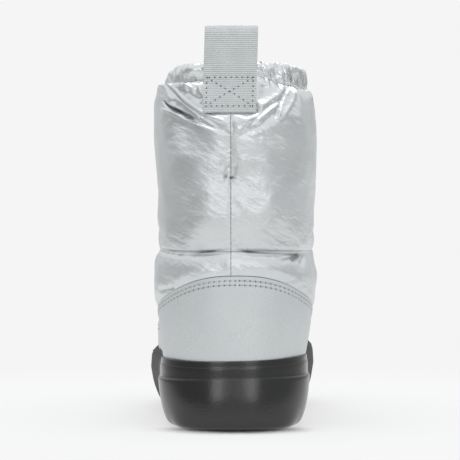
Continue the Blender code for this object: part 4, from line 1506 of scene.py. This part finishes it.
class BOOTIE_OT_stage(bpy.types.Operator):
    """Set the floor, the soft studio light and the camera"""

    bl_idname = "bootie.stage"
    bl_label = "Stage"

    def execute(self, context):
        stage = context.scene.bootie_stage
        context.scene.view_settings.view_transform = "Standard"
        self.lay_floor(stage)
        self.light(context, stage)
        self.set_camera(context, stage)
        return {"FINISHED"}

    def lay_floor(self, stage):
        shape = bmesh.new()
        bmesh.ops.create_grid(shape, x_segments=4, y_segments=4, size=FLOOR_HALF)
        bmesh.ops.translate(shape, verts=shape.verts, vec=(0, 0, -FLOOR_DROP))
        mesh = bpy.data.meshes.new("floor")
        shape.to_mesh(mesh)
        shape.free()
        finish = Finish("pale_floor", Roughness=0.9, Specular_IOR_Level=0.1)
        finish.set(Emission_Strength=stage.floor_glow)
        white, grey, pale, dark = (rgba((level,) * 3) for level in (1.0, 0.5, 0.3, 0.01))
        # Painted shadow: near the heel the floor's colour and glow are darkened, for camera rays only, where
        # the occlusion test finds the boot close.
        back = finish.node("ShaderNodeCombineXYZ", {}, {"Y": 1.0, "Z": 0.1})
        facing = {"Distance": stage.shade_reach, "Normal": back}
        open_sky = finish.node("ShaderNodeAmbientOcclusion", {"samples": 16}, facing, "AO")
        aside, along = (finish.axis(finish.place(), axis) for axis in "XY")
        beyond_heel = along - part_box("sole")[0].y
        shade = (1 - open_sky.band(*SHADE_EDGE)) * (1 - beyond_heel.band(*SHADE_RUN))
        lit = 1 - finish.camera_ray() * shade
        finish.set(Base_Color=finish.mix(lit, dark, pale), Emission_Color=finish.mix(lit, dark, white))
        reach = finish.node("ShaderNodeVectorMath", {"operation": "LENGTH"}, {0: finish.place()}, "Value")
        beside = (aside - PAPER_MIDDLE).size().band(*PAPER_SIDE) * (1 - beyond_heel.band(*PAPER_FAR))
        paper = finish.mix(beyond_heel.band(*PAPER_NEAR) * (1 - beside), grey, white)
        sweep = finish.node("ShaderNodeEmission", {}, {"Color": paper, "Strength": stage.backdrop})
        near = Value(finish, finish.shader.outputs[0])
        whole = finish.node("ShaderNodeMixShader", {}, {0: reach.band(*FLOOR_BLEND), 1: near, 2: sweep})
        finish.feed(finish.tree.nodes["Material Output"].inputs["Surface"], whole)
        mesh.materials.append(finish.material)
        floor = bpy.data.objects.new("floor", mesh)
        bpy.context.scene.collection.objects.link(floor)

    def light(self, context, stage):
        world = bpy.data.worlds.new("studio")
        world.use_nodes = True
        tree = NodeTree(world.node_tree)
        direction = tree.node("ShaderNodeTexCoord", {}, {}, "Generated")
        aside, ahead, above = (tree.axis(direction, axis) for axis in "XYZ")
        front = tree.mix(aside.band(-0.8, 0.4), (0.36, 0.365, 0.37, 1), (0.52, 0.53, 0.535, 1))
        room = tree.mix(ahead.band(-0.3, 0.95), front, (0.64, 0.65, 0.655, 1))
        room = tree.mix(above.band(0.18, 0.5), room, (0.92, 0.93, 0.935, 1))
        seen = tree.mix(tree.camera_ray(), room, rgba((stage.backdrop,) * 3))
        tree.feed(world.node_tree.nodes["Background"].inputs["Color"], seen)
        context.scene.world = world
        for name, box in SOFTBOXES.items():
            lamp = bpy.data.lights.new(name, "AREA")
            lamp.shape = "RECTANGLE"
            lamp.size = box.width
            lamp.size_y = box.height
            lamp.energy = getattr(stage, box.power)
            made = bpy.data.objects.new(name, lamp)
            made.location = box.place
            made.rotation_euler = (Vector(LIGHT_AIM) - Vector(box.place)).to_track_quat("-Z", "Y").to_euler()
            context.scene.collection.objects.link(made)

    def set_camera(self, context, stage):
        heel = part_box("sole")[0].y
        lens = bpy.data.cameras.new("camera")
        lens.lens = stage.lens
        lens.sensor_width = SENSOR_WIDTH
        camera = bpy.data.objects.new("camera", lens)
        back = Vector((math.sin(stage.turn), -math.cos(stage.turn), 0)) * stage.distance
        camera.location = Vector((stage.aim, heel, stage.eye_height)) + back
        camera.rotation_euler = (math.radians(90), 0, stage.turn)
        context.scene.collection.objects.link(camera)
        context.scene.camera = camera


PIECES = (
    BOOTIE_OT_stage,
    BOOTIE_OT_quilted_upper,
    BOOTIE_OT_counter_rand,
    BOOTIE_OT_cup_sole,
    BOOTIE_OT_footbed,
    BOOTIE_OT_gathered_cuff,
    BOOTIE_OT_pull_loop,
)


class BOOTIE_PT_pieces(bpy.types.Panel):
    """Pieces of the bootie and the sizes and colours they take"""

    bl_idname = "BOOTIE_PT_pieces"
    bl_label = "Camp Bootie"
    bl_space_type = "VIEW_3D"
    bl_region_type = "UI"
    bl_category = "Bootie"

    def draw(self, context):
        for operator in PIECES:
            self.layout.operator(operator.bl_idname)
        for group in (context.scene.bootie_sizes, context.scene.bootie_colours, context.scene.bootie_stage):
            box = self.layout.box()
            for name in group.__annotations__:
                box.prop(group, name)


CLASSES = (BootieSizes, BootieColours, BootieStage, *PIECES, BOOTIE_PT_pieces)


def register():
    for made in CLASSES:
        bpy.utils.register_class(made)
    bpy.types.Scene.bootie_sizes = PointerProperty(type=BootieSizes)
    bpy.types.Scene.bootie_colours = PointerProperty(type=BootieColours)
    bpy.types.Scene.bootie_stage = PointerProperty(type=BootieStage)


def unregister():
    for name in ("bootie_sizes", "bootie_colours", "bootie_stage"):
        delattr(bpy.types.Scene, name)
    for made in reversed(CLASSES):
        bpy.utils.unregister_class(made)


def main():
    register()
    bpy.ops.bootie.stage()
    bpy.ops.bootie.quilted_upper()
    bpy.ops.bootie.counter_rand()
    bpy.ops.bootie.cup_sole()
    bpy.ops.bootie.footbed()
    bpy.ops.bootie.gathered_cuff()
    bpy.ops.bootie.pull_loop()


if __name__ == "__main__":
    main()
